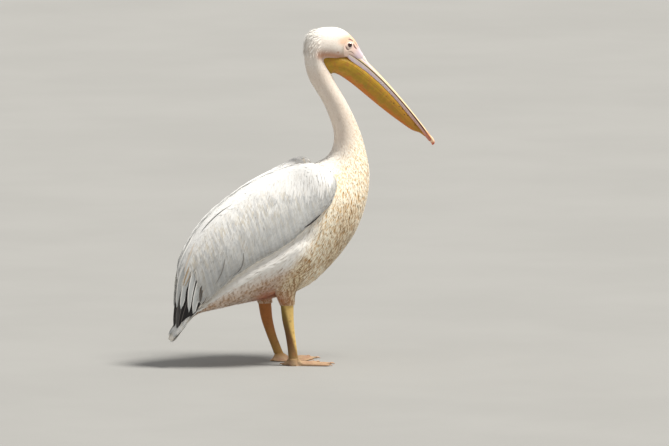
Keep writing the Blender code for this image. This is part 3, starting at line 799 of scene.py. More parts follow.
NAIL = np.array((  # share of the mouth line, height over it, half height, half width
    (0.96, 22, 40, 110), (0.984, 18, 62, 112), (1.004, -10, 58, 80), (1.012, -64, 12, 16),
)) / (1, TENTHS, TENTHS, TENTHS)
NAIL_RINGS, NAIL_ROUND = 40, 48
point, up = mouth_line(NAIL[:, 0])
bend = between(np.hstack([point + up * NAIL[:, 1:2], NAIL[:, 2:]]), np.linspace(0, 3, NAIL_RINGS))
ahead = unit(np.gradient(bend[:, :2], axis=0))
turns = circle(NAIL_ROUND)
across = np.stack([-ahead[:, 1], ahead[:, 0]], 1)
flat = bend[:, None, :2] + across[:, None] * (bend[:, 2:3] * np.cos(turns))[..., None]
nail = solid("nail", Form(np.stack([flat[..., 0], bend[:, 3:4] * np.sin(turns), flat[..., 1]], -1)),
             {"along": np.append(np.repeat(np.linspace(0, 1, NAIL_RINGS), NAIL_ROUND), (0, 1))})
tip = Finish("nail", Specular_IOR_Level=0.5)
grain = tip.place.noise(300, 3)
colour = (tip.layer("along") + grain * 0.15).rise(0.48, 0.8).blend((248, 214, 178), (206, 96, 66))
nail.data.materials.append(tip.coat(colour, grain * 0.2 + 0.25, grain, depth=0.0003))
for piece, slot, node in ((bill_upper, "bill", "bill_upper"), (bill_lower, "bill", "bill_lower"),
                          (nail, "bill_nail", "bill_nail")):
    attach(piece, "root")
    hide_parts(node)


# --- pouch ---
# A bag of bare elastic skin hung between the bars of the lower bill and back to the throat. Slack
# skin, ochre with greener and redder patches, in fine pleats along its length.

POUCH = np.array((  # top x, z, under side x, z, half width, belly
    (560, 9550, 745, 8940, 190, -0.1), (720, 9570, 905, 8955, 252, -0.15),
    (920, 9570, 1030, 9000, 265, -0.18), (1180, 9560, 1215, 8930, 262, -0.22),
    (1530, 9450, 1411, 8796, 248, -0.26), (1980, 9140, 1674, 8601, 225, -0.28),
    (2410, 8770, 2055, 8291, 190, -0.28), (2910, 8280, 2548, 7881, 168, -0.28),
    (3360, 7760, 3088, 7460, 150, -0.25), (3680, 7340, 3524, 7155, 120, -0.2),
    (3840, 7130, 3782, 7058, 80, -0.15), (3970, 6960, 3950, 6938, 22, -0.1),
)) / (*[TENTHS] * 5, 1)
POUCH_RINGS, POUCH_ROUND = 210, 120
share = np.linspace(0, 1, POUCH_RINGS)
v = between(POUCH, share * (len(POUCH) - 1))
turns = circle(POUCH_ROUND)
c, s = np.cos(turns), np.sin(turns)
centre = np.stack([v[:, 0] + v[:, 2], v[:, 1] + v[:, 3]], 1) / 2
half = np.stack([v[:, 0] - v[:, 2], v[:, 1] - v[:, 3]], 1) / 2
flat = centre[:, None] + half[:, None] * np.where(c > 0, np.abs(c) ** 0.65, c)[None, :, None]
bag = Form(np.stack([flat[..., 0], v[:, 4:5] * s * (1 - v[:, 5:6] * c), flat[..., 1]], -1))
run = share[:, None]
wander = 1.9 * np.sin(turns * 3 + run * 6) + 1.3 * np.sin(turns * 5 - run * 11 + 1)
pleats = np.sin(turns * 34 + wander) * (0.5 + 0.5 * np.sin(turns * 7 + run * 9)) * np.sin(run * np.pi)
slack = np.sin(run * 17 + 2.2 * c) * np.clip(-c + 0.2, 0, 1)
moved = bag.points + bag.out * (0.0001 * pleats + 0.00035 * slack - 0.0003)[..., None]
pouch = solid("throat_pouch", bag, {"along": np.append(np.repeat(share, POUCH_ROUND), (0, 1)),
                                    "over": np.append(np.tile(c, POUCH_RINGS), (0, 0)),
                                    "pleat": np.append(pleats, (0, 0))}, moved)
elastic = Finish("pouch skin", Specular_IOR_Level=0.4)
along, over = elastic.layer("along"), elastic.layer("over")
blotch, grain = elastic.place.noise(22, 3), elastic.place.noise(300, 4)
lines = elastic.place.stretched((1, 1, 1), (0, 0.9, 0)).stretched((0.5, 1, 1.4)).noise(70, 3)
rim = (0 - over + elastic.place.noise(50, 3) * 1.2).rise(1.0, 1.5) * along.rise(0.12, 0.35)
specks = elastic.place.cells(110).rise(0.3, 0.16) * elastic.place.noise(70, 2).rise(0.44, 0.5)
specks = specks * along.rise(0.58, 0.64) * along.rise(0.86, 0.8) * over.rise(-0.2, 0.2)
colour = blotch.rise(0.38, 0.62).blend((186, 136, 34), (172, 138, 34)).under(
    (lines.rise(0.45, 0.7) * 0.6, (200, 152, 52)),
    (elastic.place.noise(75, 3).rise(0.52, 0.66) * 0.6, (172, 112, 50)),
    (elastic.place.noise(90, 3).rise(0.42, 0.32) * 0.5, (148, 140, 42)),
    ((along + blotch * 0.3).rise(0.66, 1.0) * 0.55, (186, 126, 44)), (rim * 0.85, (198, 112, 40)),
    # Painted shade: a faint darkening in the troughs of the pleats
    (elastic.layer("pleat").rise(0.2, -0.9) * 0.06, (110, 72, 16)), (specks, (66, 44, 24)))
relief = elastic.layer("pleat") * 0.3 + grain * 0.6
pouch.data.materials.append(elastic.coat(colour, grain * 0.25 + 0.34, relief, depth=0.0006))
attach(pouch, "root")
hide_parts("pouch")


# --- claws ---
# Short blunt claws of horn, one bent cone at the end of each toe. They lie close over the floor
# and are let three millimetres into the toe.

claw_horn = Finish("claw", Specular_IOR_Level=0.5)
grain = claw_horn.place.stretched((1, 1, 3)).noise(500, 3)
claw_colour = grain.rise(0.3, 0.7).blend((168, 128, 98), (204, 168, 134))
claw_finish = claw_horn.coat(claw_colour, grain * 0.2 + 0.35, grain, depth=0.0003)
CLAW_LENGTH, CLAW_RADIUS, CLAW_ROOT = 0.0144, 0.0031, 0.003
CLAW_HEIGHT, CLAW_ARCH, CLAW_DROOP = 0.0044, 0.0013, 0.0026
for name, side in SIDES.items():
    for toe, angle, length in zip(("outer", "middle", "inner", "hind"), TOE_ANGLES, TOE_LENGTHS):
        heading = math.radians(angle)
        ahead = np.array((math.cos(heading), -side * math.sin(heading), 0))
        across = np.array((-ahead[1], ahead[0], 0))
        share = np.linspace(0, 1, 14)[:, None]
        thick = CLAW_RADIUS * (1 - share) ** 0.6 + 0.0002
        middle = np.array((*ANKLE[name], 0)) + ahead * (length - CLAW_ROOT + CLAW_LENGTH * share)
        middle[:, 2:3] = CLAW_HEIGHT + CLAW_ARCH * np.sin(np.pi * share) - CLAW_DROOP * share**2
        turns = circle(16)
        cone = Form(middle[:, None] + across * (thick * 0.8 * np.cos(turns))[..., None]
                    + np.array((0, 0, 1)) * (thick * np.sin(turns))[..., None])
        claw = solid(f"toe_claw_{toe}_{name}", cone)
        claw.data.materials.append(claw_finish)
        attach(claw, "root")
        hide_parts(f"claw_{toe}_{name}")


# --- coat of the body ---
# Contour feathers from the face to the tail, each a thin closed vane with a low ridge for its shaft.
# They are rooted in the skin, follow the form towards the tail and overlap like shingles.

LANCET = (0.45, 0.9, 1.0, 0.68, 0.0)  # half widths from root to tip, of a narrow pointed vane
PLUSH = (0.6, 1.0, 0.78, 0.0)
COAT = np.array((  # place on the body, length of a vane, width, depth of its root
    (0, 500, 95, 10), (4, 500, 90, 40), (6, 450, 74, 50), (9, 420, 57, 50), (11, 360, 44, 46),
    (12.5, 300, 39, 44), (14, 240, 36, 38), (15, 170, 34, 28), (17, 115, 32, 24), (20, 115, 32, 22),
    (21.5, 130, 30, 20), (23.5, 105, 27, 16), (25, 78, 23, 13), (26.5, 58, 20, 11), (28, 45, 17, 10),
)) / (1, TENTHS, TENTHS, TENTHS)
PATCH_SIZE = 0.003  # of a vane on the unwrap


def dot(a, b):
    return (a * b).sum(-1, keepdims=True)


def scatter(form, step, gap, first, last):
    """Roots in staggered rows between two rings, step(ring) apart along the form, gap(ring) round it."""
    spacing = np.linalg.norm(form.net[..., 3:6], axis=2).mean(1)
    ring, rings, turns = last, [], []
    corners = np.arange(form.round + 1.0)
    while ring > first:
        curve = form.at(np.full(len(corners), ring), corners)[0]
        run = np.concatenate([[0], np.cumsum(np.linalg.norm(np.diff(curve, axis=0), axis=1))])
        count = max(6, round(run[-1] / gap(ring)))
        where = (np.arange(count) + 0.5 * (len(rings) % 2) + chance.uniform(-0.35, 0.35, count)) / count
        pitch = step(ring) / spacing[int(ring)]
        turns.append(np.interp((where % 1.0) * run[-1], run, corners))
        rings.append(ring + chance.uniform(-0.45, 0.45, count) * pitch)
        ring -= pitch
    return np.concatenate(rings), np.concatenate(turns)


def follow(form, ring, turn, heading, length, rows):
    """Centre lines that start at roots and run over the form the way heading(ring, point, along)
    says, the outward directions at their points, and the points' shares of the whole length."""
    centres, outs = [], []
    for _ in range(rows + 1):
        point, along, about, out = form.at(ring, turn)
        centres.append(point + along * (ring - np.clip(ring, 0, form.rings - 1.001))[:, None])
        outs.append(out)
        want = heading(ring, point, along)
        step = unit(want - out * dot(want, out)) * (length / rows)[:, None]
        a, b, c, e, f = (dot(*pair)[:, 0] for pair in ((along, along), (along, about), (about, about),
                                                      (step, along), (step, about)))
        size = a * c - b * b + 1e-15
        ring, turn = ring + (c * e - b * f) / size, turn + (a * f - b * e) / size
    return np.array(centres), np.array(outs), np.linspace(0, 1, rows + 1)[:, None]


def lying(way, stray):
    """A heading that runs along the form with some disorder, forwards (1) or backwards (-1)."""
    return lambda ring, point, along: way * unit(along) + chance.normal(0, stray, point.shape)


def vanes(centres, outs, lift, width, outline, root, layers, camber, roll):
    """Closed vanes on centre lines: each row is left edge, shaft and right edge, and the tip one point."""
    rows, count = len(centres) - 1, centres.shape[1]
    centres = centres + outs * lift[..., None]
    ahead = unit(np.gradient(centres, axis=0))
    side = unit(np.cross(outs, ahead))
    half = width / 2 * np.asarray(outline)[:, None]
    rolled = outs * (half * (roll * chance.normal(0, 1, count)))[..., None]
    sunk = outs * (half * camber + 0.0001)[..., None]
    left, right = (centres + (side * half[..., None] + rolled) * way - sunk for way in (1, -1))
    points = np.stack([left, centres, right], 1)[:rows].reshape(rows * 3, count, 3)
    points = np.concatenate([points, centres[rows:]]).transpose(1, 0, 2)
    lie = np.append(np.repeat(np.arange(rows) / rows, 3), 1.0)
    across = np.append(np.tile((-1.0, 0.0, 1.0), rows), 0.0)
    return {"points": points, "root": root, "lie": lie, "across": across,
            "layers": {**layers, "tone": chance.uniform(0, 1, count)}}


def coat_piece(name, batches, finish):
    """Joins vanes into one mesh, with each vane's patch at its root's place on the skin's unwrap."""
    points, quads, tris, spots, layers, start = [], [], [], [], {}, 0
    roots = np.concatenate([b["root"] for b in batches])
    low, high = roots.min(0), roots.max(0)
    for batch in batches:
        count, corners = batch["points"].shape[:2]
        rows = corners // 3
        base = start + np.arange(count)[:, None, None] * corners
        k = 3 * np.arange(rows - 1)[:, None]
        strip = np.concatenate([k + (0, 1, 4, 3), k + (1, 2, 5, 4), k + (0, 3, 5, 2)])
        tip = corners - 1
        ends = np.array([(tip - 3, tip - 2, tip), (tip - 2, tip - 1, tip), (tip - 3, tip, tip - 1),
                         (0, 2, 1)])
        quads.append((base + strip).reshape(-1, 4))
        tris.append((base + ends).reshape(-1, 3))
        points.append(batch["points"].reshape(-1, 3))
        lie = batch["lie"].copy()
        lie[1] = -0.15
        patch = np.stack([batch["across"] / 2, lie - 0.5], 1) * PATCH_SIZE
        place = 2 * PATCH_SIZE + (1 - 4 * PATCH_SIZE) * (batch["root"] - low) / (high - low)
        spots.append((place[:, None] + patch).reshape(-1, 2))
        values = {"lie": np.tile(batch["lie"], count), "across": np.tile(batch["across"], count)}
        values.update({layer: np.repeat(v, corners) for layer, v in batch["layers"].items()})
        for layer, v in values.items():
            layers.setdefault(layer, []).append(v)
        start += count * corners
    layers = {layer: np.concatenate(v) for layer, v in layers.items()}
    piece = piece_from(name, np.concatenate(points), (np.concatenate(quads), np.concatenate(tris)), layers)
    mesh = piece.data
    corner = np.empty(len(mesh.loops), np.int32)
    mesh.loops.foreach_get("vertex_index", corner)
    unwrap = np.concatenate(spots)[corner].astype(np.float32)
    mesh.uv_layers.new(name="OFBake").data.foreach_set("uv", unwrap.ravel())
    mesh.set_sharp_from_angle(angle=math.radians(70))
    mesh.materials.append(finish)
    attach(piece, "root")
    return piece


down = Finish("body feathers", Roughness=0.72, Specular_IOR_Level=0.25, Sheen_Weight=0.15)
lie, tone, tint_and_shade, buff, brown, under, vent, cheek, brow = (
    down.layer(n) for n in ("lie", "tone", "tint_and_shade", "buff", "brown", "under", "vent", "cheek", "brow"))
patch, fleck = down.place.noise(26, 3), down.place.noise(210, 2)
streak = down.place.stretched((1, 1, 0.32)).noise(135, 2)
# Buff and tan vanes darken towards the root: their own darker bases, and painted shade deep in the coat
cream = (lie + tone * 0.3 + fleck * 0.25).rise(0.7, 0.98).blend((217, 180, 126), (252, 245, 226))
tan = (lie + tone * 0.35 + fleck * 0.2).rise(0.76, 1.1).blend((176, 132, 80), (242, 224, 186))
# Greyer towards the root of each vane: painted shade deep in the coat
colour = lie.rise(0.05, 0.65).blend((226, 216, 202), (251, 249, 245))
colour = (tone.rise(0.3, 0.0) * 0.4).blend(colour, (230, 221, 207))
# Multiplied in: a rosy tint with painted shade on the sides of the neck and head
colour = (tint_and_shade * (patch * 0.4 + 0.55)).blend(colour, (238, 222, 208), "MULTIPLY").under(
    (buff * (patch * 0.5 + 0.72), cream), (buff * streak.rise(0.5, 0.62) * 0.5, (218, 182, 128)),
    (brown * 0.85, tan), (brown * streak.rise(0.46, 0.57) * 0.72, (152, 108, 60)),
    # Painted shade: warm brown where the belly and tail face down
    (under * (patch * 0.7 + 0.2), (188, 144, 100)), (under * streak.rise(0.48, 0.58) * 0.65, (166, 122, 78)),
    # The vent's red-orange stain, painted darker for shade; a rosy band with painted shade under the cheek;
    # the peach brow
    (vent, (176, 96, 56)), (cheek * 0.85, (190, 134, 100)), (brow * 0.75, (246, 197, 160)))
down_finish = down.coat(colour, height=fleck, depth=0.0003)

coverings = []
for form in (*wings.values(), *thighs.values(), bag, lower, upper):
    points, quads, caps = form.shell(form.points)
    coverings.append((BVHTree.FromPolygons(points.tolist(), quads.tolist() + caps.tolist()),
                      points.min(0), points.max(0)))
COVER_DEPTHS = (0.022, 0.022, 0.012, 0.012, 0.0015, 0.001, 0.001)  # wings, thighs, pouch, bill
SLANT = Vector((0.31, 0.24, 0.92))  # a direction that runs along no edge of the forms


def buried(points, cover):
    """Which points lie deep inside one of the forms that cover the body."""
    tree, low, high = coverings[cover]
    deep = ((points > low) & (points < high)).all(1)
    for k in np.flatnonzero(deep):
        place, inside = Vector(points[k]), False
        deep[k] = tree.find_nearest(place)[3] > COVER_DEPTHS[cover]
        while deep[k]:
            place = tree.ray_cast(place, SLANT)[0]
            if place is None:
                break
            place, inside = place + SLANT * 1e-5, not inside
        deep[k] &= inside
    return deep


coat_length, coat_width, coat_depth = (
    lambda ring, values=values: np.interp(place_at(ring), COAT[:, 0], values) for values in COAT.T[1:])


def body_heading(ring, point, along):
    """Towards the tail, more steeply down on the breast, and fanned forward at the foot of the neck."""
    place = place_at(ring)[:, None]
    down = np.interp(place, (6, 8, 10, 12, 14, 15.5), (0, 0.35, 0.9, 1.2, 0.6, 0))
    ahead = np.interp(place, (11.5, 13, 14.5, 16), (0, 0.35, 0.45, 0)) * (point[:, 0:1] > 0)
    return -unit(along) + (0, 0, -1) * down + (1, 0, 0) * ahead + chance.normal(0, 0.1, point.shape)


def body_coat(first, last, rows, outline):
    """A batch of vanes between two places on the body."""
    ring, turn = scatter(body, lambda r: coat_length(r) * 0.28, lambda r: coat_width(r) * 0.57,
                         *ring_at((first, last)))
    point, _, _, out = body.at(ring, turn)
    keep = bareness(point) < chance.uniform(0.25, 0.75, len(point))
    for cover in range(len(coverings)):
        keep[keep] &= ~buried(point[keep], cover)
    ring, turn, point, out = ring[keep], turn[keep], point[keep], out[keep]
    near_face = np.clip(bareness(point + (0.006, 0, 0)) + bareness(point), 0, 1)
    count = len(ring)
    length = coat_length(ring) * chance.uniform(0.85, 1.2, count) * (1 - 0.45 * near_face)
    centres, outs, lie = follow(body, ring, turn, body_heading, length, rows)
    depth = coat_depth(ring) * (1 - 0.7 * near_face)
    place = place_at(ring)
    loose = (place < 9.5) * rise(-out[:, 2], 0.2, 0.8) * chance.uniform(0, 0.0035, count)
    tip = (0.0002 + 0.022 * length) * chance.uniform(0.1, 1.6, count) + loose
    tip -= np.interp(place, (19, 21), (0, 0.0012))
    tip *= np.interp(place, (12.5, 15, 20, 22.5), (1, 0.45, 0.45, 0.7))
    lift = 0.0003 - depth * (1 - lie) ** 3.2 + tip * lie**1.3
    width = coat_width(ring) * chance.uniform(0.8, 1.25, count)
    return vanes(centres, outs, lift, width, outline, body.unwrap(ring, turn), markings(point, out),
                 camber=0.14, roll=0.05)


for name, first, last, rows, outline in (
        ("head_plush", 20.6, 27.9, 3, PLUSH), ("neck_velvet", 14.6, 20.6, 3, PLUSH),
        ("breast_lancets", 10.2, 14.6, 4, LANCET), ("belly_feathers", 3.9, 10.2, 4, LANCET)):
    coat_piece(name, [body_coat(first, last, rows, outline)], down_finish)


# --- crest ---
# Thin loose plumes at the back of the head, which part at their tips and stand away from the nape.
# They are narrow vanes like the rest of the coat, rooted among the plush of the head.

PLUMES = 640
ring, turn = chance.uniform(*ring_at((20.9, 23.2)), PLUMES), chance.normal(0, 0.1, PLUMES) * body.round
length = chance.uniform(0.015, 0.029, PLUMES)
centres, outs, lie = follow(body, ring, turn, lying(-1, 0.16), length, 6)
lift = -0.002 + 0.003 * lie + chance.uniform(0.001, 0.0085, PLUMES) * lie**2
point, _, _, out = body.at(ring, turn)
marks = markings(point, out)
# Less of the neck's rosy tint and painted shade on the crest plumes
marks["tint_and_shade"] *= 0.4
width, root = chance.uniform(0.0016, 0.0028, PLUMES), np.stack([turn / body.round, ring / body.rings], 1)
plumes = vanes(centres, outs, lift, width, (0.6, 1, 1, 0.9, 0.7, 0.4, 0), root, marks, camber=0.22, roll=0.12)
coat_piece("crest_plumes", [plumes], down_finish)


# --- thighs ---
# Short dense feathers over the drumsticks, buff and brown in streaks, that stop in a clean edge
# above the bare leg.

THIGH_LEAN = (-0.22, 0, -0.3)  # added to the way down the thigh: backward and down


def down_and_back(ring, place, along):
    """The way the feathers of the thigh lie, each a little astray."""
    return unit(along) + THIGH_LEAN + chance.normal(0, 0.1, place.shape)


drumsticks = []
for name, form in thighs.items():
    ring, turn = scatter(form, lambda r: 0.0042, lambda r: 0.0024, 1.0, 31.5)
    point, _, _, out = form.at(ring, turn)
    share = ring / form.rings
    length = np.interp(share, (0, 0.5, 1), (0.022, 0.016, 0.009)) * chance.uniform(0.85, 1.15, len(ring))
    length = np.minimum(length, np.maximum(point[:, 2] - form.points[-1, 0, 2] + 0.002, 0.004))
    centres, outs, lie = follow(form, ring, turn, down_and_back, length, 3)
    tip = 0.0005 + 0.05 * length * chance.uniform(0.3, 1.5, len(ring))
    lift = -0.005 * (1 - lie) ** 2.2 + tip * lie**1.3
    marks = markings(point, out)
    low = rise(share, 0.02, 0.4)
    marks["buff"] = np.clip(marks["buff"] + 0.85 * low, 0, 1)
    marks["brown"] = np.clip(marks["brown"] + chance.uniform(-0.2, 1.4, len(ring)) * low, 0, 1)
    marks["vent"] = marks["vent"] * 0.6
    root = form.unwrap(ring, turn, 0.49, 0.5 * (name == "left"))
    width = chance.uniform(0.0034, 0.005, len(ring))
    drumsticks.append(vanes(centres, outs, lift, width, PLUSH, root, marks, camber=0.16, roll=0.08))
coat_piece("thigh_feathers", drumsticks, down_finish)


# --- wings ---
# Folded wings: narrow lancet coverts that hang down the side, a smooth mantle of broad scapulars
# along the back, and long quills whose points lie one over another above the tail.

vaned = Finish("wing feathers", Roughness=0.62, Specular_IOR_Level=0.3, Sheen_Weight=0.1)
WING_LAYERS = ("beige", "dusk", "shade", "quill", "white")
lie, across, tone, beige, dusk, shade, quill, white = (
    vaned.layer(n) for n in ("lie", "across", "tone", *WING_LAYERS))
patch = vaned.place.noise(14, 3)
hanging = vaned.place.stretched((1, 1, 1), (0, 0.25, 0)).stretched((1, 0.35, 0.07))
grain = across.node("ShaderNodeCombineXYZ", {}, {0: across * 2.2 + tone * 90, 1: lie * 1.3}).noise(2.4, 3)
vane = (across * across + 0.0001) ** 0.5
snow = grain.rise(0.45, 0.8).blend((250, 250, 249), (236, 236, 234))
edged = (vane + grain * 0.25 - hanging.noise(180, 3) * 0.2).rise(0.5, 0.8)
edged = edged.blend((210, 213, 213), (254, 253, 250))
dark = (vane + grain * 0.2).rise(0.7, 1.02).blend((36, 33, 34), (104, 98, 94))
# Greyer towards the root of each vane: painted shade deep in the coat
colour = lie.rise(0.0, 0.5).blend((230, 229, 225), (246, 246, 244)).under(
    (tone.rise(0.4, 0.1) * 0.35 * patch.rise(0.3, 0.6), (222, 212, 190)),
    (tone.rise(0.72, 0.95) * 0.4, (204, 206, 208)), (grain.rise(0.5, 0.72) * 0.3, (198, 196, 190)),
    (hanging.noise(150, 3).rise(0.46, 0.62) * 0.6, (206, 196, 174)),
    (hanging.noise(110, 3).rise(0.54, 0.42) * 0.6, (188, 191, 194)),
    # shade: painted shade, grey; white: white vanes, on the coverts partly painted light
    (shade * (grain * 0.5 + 0.45), (176, 178, 178)), (white, snow), (quill, edged),
    (beige * (vane + grain * 0.4).rise(0.35, 0.9), (170, 142, 104)), (dusk, dark))
wing_finish = vaned.coat(colour, height=grain, depth=0.0004)


def covert_heading(ring, point, along):
    """Down the side, leaning back more towards the rear."""
    lean = np.interp(point[:, 0:1], (-0.41, -0.36, -0.28, -0.12, 0.0, 0.07),
                     (0.12, 0.34, 0.36, 0.2, 0.06, -0.1))
    return np.concatenate([-lean, 0 * lean, -np.ones_like(lean)], 1) + chance.normal(0, 0.035, point.shape)


def wing_marks(count, **marks):
    return {layer: marks.get(layer, 0) + np.zeros(count) for layer in WING_LAYERS}


COVERT = (0.35, 0.7, 0.95, 1.0, 0.85, 0.5, 0.0)
for name, form in wings.items():
    ring, turn = scatter(form, lambda r: 0.004, lambda r: 0.0112, 2.0, 80.0)
    turn = (turn + 16) % form.round - 16
    keep = (turn > np.interp(ring, (18, 34), (-3, 2))) & (turn < 31.9)
    ring, turn = ring[keep], turn[keep]
    point, _, _, out = form.at(ring, turn)
    keep = point[:, 0] > np.interp(point[:, 2], (0.2, 0.3, 0.36, 0.4), (-0.318, -0.322, -0.335, -0.5))
    ring, turn, point, out = ring[keep], turn[keep], point[keep], out[keep]
    count, share = len(ring), (1 + np.cos(2 * np.pi * turn / form.round)) / 2
    length = np.interp(share, (0, 0.25, 0.7, 1), (0.036, 0.08, 0.078, 0.052))
    length *= chance.uniform(0.8, 1.2, count)
    length *= np.interp(ring, (0, 8, 26, 62, 78), (0.45, 0.75, 1, 1, 0.55))

    def heading(r, p, a, form=form):
        edge = rise(-np.abs((p - form.at(r, np.full(len(r), 32.0))[0])).sum(1), -0.085, -0.01)[:, None]
        return covert_heading(r, p, a) * (1 - edge) + unit(a) * edge * 1.3

    centres, outs, lie = follow(form, ring, turn, heading, length, 6)
    lift = 0.0004 - 0.0055 * (1 - lie) ** 3 + (0.0001 + chance.uniform(0.0, 0.0005, count)) * lie**1.5
    lift += 0.004 * rise(ring, 58, 70) * lie
    width = np.interp(ring, (0, 30, 60), (0.0075, 0.0086, 0.0096)) * chance.uniform(0.75, 1.3, count)
    # Painted shade greys the coverts towards the wing's lower edge; towards the top and the shoulder they are
    # whiter, partly white coverts and partly painted light
    marks = wing_marks(count, beige=0.3 * chance.uniform(0, 1, count) ** 3, shade=rise(-share, -0.84, -0.35),
                       white=0.9 * rise(share + 0.22 * rise(ring, 44, 16), 0.72, 0.95))
    root = form.unwrap(ring, turn, 0.95, name == "left")
    batch = vanes(centres, outs, lift, width, COVERT, root, marks, camber=0.08, roll=0.04)
    coat_piece("wing_coverts_" + name, [batch], wing_finish)

SCAPULAR = (0.35, 0.7, 0.9, 1.0, 1.0, 0.8, 0.0)
mantle = []
for name, form in wings.items():
    ring, turn = scatter(form, lambda r: 0.008, lambda r: 0.0052, 0.5, 68.0)
    turn = (turn + 32) % form.round - 32
    border = np.interp(ring, (0, 8, 18, 23, 30, 39, 47, 51, 55, 62, 68),
                       (13, 12, 10, 9.2, 9, 9.4, 8.6, 7.8, 8.2, 6.2, 4.5))
    inner = np.interp(ring, (0, 18, 30, 66), (-22, -20, -1.5, -0.5))
    keep = (turn > inner) & (turn < border + chance.normal(0, 1.6, len(ring)) * rise(ring, 40, 20))
    ring, turn = ring[keep], turn[keep]
    count = len(ring)
    length = np.interp(ring, (0, 12, 30, 66), (0.024, 0.042, 0.066, 0.07))
    length *= chance.uniform(0.85, 1.15, count)
    centres, outs, lie = follow(form, ring, turn, lying(1, 0.02), length, 6)
    lift = 0.0003 + 0.0007 * rise(ring, 24, 44) - 0.006 * (1 - lie) ** 2.4
    lift = lift + chance.uniform(0, 0.0002, count) * lie
    width, root = chance.uniform(0.011, 0.016, count), form.unwrap(ring, turn, 0.95, name == "left")
    marks = wing_marks(count, white=1.0)
    mantle.append(vanes(centres, outs, lift, width, SCAPULAR, root, marks, camber=0.04, roll=0.0))
coat_piece("scapular_mantle", mantle, wing_finish)


# --- quills ---
# The long stiff feathers of the folded wing. The black primaries lie lowest and close above the
# tail; grey tertials with pale edges lie over them, point behind point.

QUILLS = np.array((  # four points x, y, z of the left shaft, width, beige, dusk; the lowest first
    (-3860, 260, 2400, -3940, 220, 1960, -3990, 180, 1550, -4000, 160, 1120, 140, 0, 0.9),
    (-3520, 500, 3000, -3770, 400, 2200, -3920, 300, 1550, -4000, 230, 1000, 190, 0, 1),
    (-3380, 600, 2900, -3660, 500, 2200, -3850, 400, 1600, -3960, 300, 1100, 190, 0, 1),
    (-3260, 660, 2800, -3500, 580, 2150, -3710, 480, 1650, -3860, 370, 1230, 180, 0, 1),
    (-3180, 700, 2800, -3340, 640, 2300, -3540, 560, 1850, -3720, 450, 1480, 160, 0.2, 1),
    (-3000, 800, 3100, -3180, 740, 2620, -3300, 660, 2200, -3360, 600, 1960, 160, 1, 0.75),
    (-3640, 300, 3650, -3830, 220, 3000, -3930, 160, 2400, -3980, 120, 1850, 180, 0, 0),
    (-3450, 380, 3860, -3720, 300, 3250, -3890, 180, 2680, -3990, 100, 2220, 190, 0, 0),
    (-3450, 500, 3500, -3720, 460, 2900, -3880, 360, 2300, -3930, 280, 1820, 200, 0, 0),
    (-3450, 550, 3450, -3600, 540, 2850, -3690, 500, 2320, -3700, 420, 1740, 180, 0, 0),
    (-3260, 660, 3300, -3400, 660, 2740, -3540, 580, 2120, -3565, 460, 1660, 210, 0, 0),
    (-3430, 480, 3730, -3620, 480, 3250, -3780, 440, 2850, -3890, 360, 2500, 170, 0.9, 0),
    (-3240, 780, 3250, -3340, 760, 2850, -3400, 710, 2430, -3405, 640, 2020, 120, 1, 0.8),
    (-3420, 220, 4250, -3620, 200, 3750, -3780, 140, 3350, -3880, 80, 3000, 180, 0, 0),
    (-3320, 380, 4250, -3540, 380, 3700, -3700, 360, 3250, -3800, 300, 2900, 190, 0.5, 0),
    # A thin dark vane along the lower edge of the scapulars: a painted shadow line
    (-2360, 450, 5130, -2680, 400, 4940, -3050, 400, 4680, -3400, 360, 4250, 35, 0, 0.7),
    (200, 1490, 4810, 80, 1500, 4660, -100, 1510, 4500, -320, 1520, 4390, 65, 0, 1),
    (-2150, 1140, 3620, -2160, 1130, 3360, -2260, 1100, 3100, -2480, 1040, 2880, 35, 0, 0.7),
    (-2720, 980, 3450, -2750, 970, 3200, -2830, 930, 2920, -2980, 840, 2620, 30, 0.4, 0.6),
)) / (*[TENTHS] * 13, 1, 1)
QUILL = (0.5, 0.78, 0.92, 1.0, 1.0, 0.92, 0.78, 0.5, 0.0)
QUILL_LIFT, STRAY_LIFT, STRAYS_FROM = -0.004, 0.0005, 15
paths, (width, beige, dusk) = QUILLS[:, :12].reshape(-1, 4, 3), QUILLS[:, 12:].T
quill_rows = []
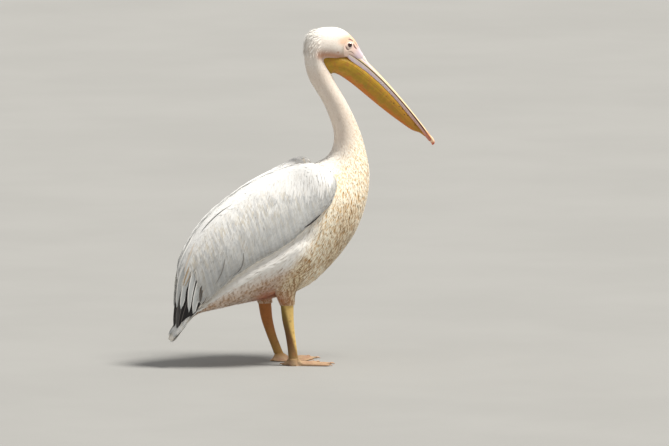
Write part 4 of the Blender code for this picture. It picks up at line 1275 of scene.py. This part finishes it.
for (name, side), (tree, _, _) in zip(SIDES.items(), coverings):
    centres, lifts = [], []
    for k, path in enumerate(paths):
        shaft = between(path, np.linspace(0, 3, len(QUILL))) * (1, side, 1)
        centres.append([tree.find_nearest(Vector(p))[0] for p in shaft])
        lifts.append(np.linspace(QUILL_LIFT if k < STRAYS_FROM else STRAY_LIFT,
                                 0.001 + 0.0005 * min(k, 9), len(QUILL)))
    outs = np.zeros((len(QUILL), len(QUILLS), 3)) + unit(np.array((-0.42, side * 1.0, 0.08)))
    root = np.stack([(name == "left") + 0.1 + 0.05 * np.arange(len(QUILLS)), 1.05 + 0 * width], 1)
    marks = wing_marks(len(QUILLS), beige=beige, dusk=dusk, quill=1.0 - dusk)
    quill_rows.append(vanes(np.array(centres).transpose(1, 0, 2), outs, np.array(lifts).T, width, QUILL, root,
                            marks, camber=0.12, roll=0.02))
coat_piece("wing_quills", quill_rows, wing_finish)


# --- tail ---
# A short tail of broad, worn feathers, rooted in a row round the end of the body. The upper ones
# are grey with pale edges, partly painted shade; the lower ones are white, and the tips pale.

TAIL_QUILL = (0.5, 0.8, 0.95, 1.0, 1.0, 1.0, 0.95, 0.8, 0.0)
spread = np.concatenate([np.linspace(-31, 31, 11), np.linspace(57, 99, 7)])
count, below = len(spread), spread > 40
ring = np.full(count, ring_at(5.2))
length = np.interp(np.abs(spread), (0, 30, 48, 78), (0.172, 0.164, 0.156, 0.164))
length *= chance.uniform(0.985, 1.015, count)
centres, outs, lie = follow(body, ring, spread, lambda r, p, a: -unit(a), length, 8)
lift = -0.002 + 0.0034 * lie + 0.0003 * np.arange(count) * lie
root = np.stack([0.1 + 0.08 * np.arange(count), np.zeros(count)], 1)
# Painted shade greys the upper feathers a little; the lower ones are white
marks = wing_marks(count, quill=0.6 * (np.abs(spread) < 30), shade=0.3 * ~below, white=0.8 * below)
width = np.where(below, 0.03, 0.023)
fan = vanes(centres, outs, lift, width, TAIL_QUILL, root, marks, camber=0.04, roll=0.0)
coat_piece("tail_feathers", [fan], wing_finish)
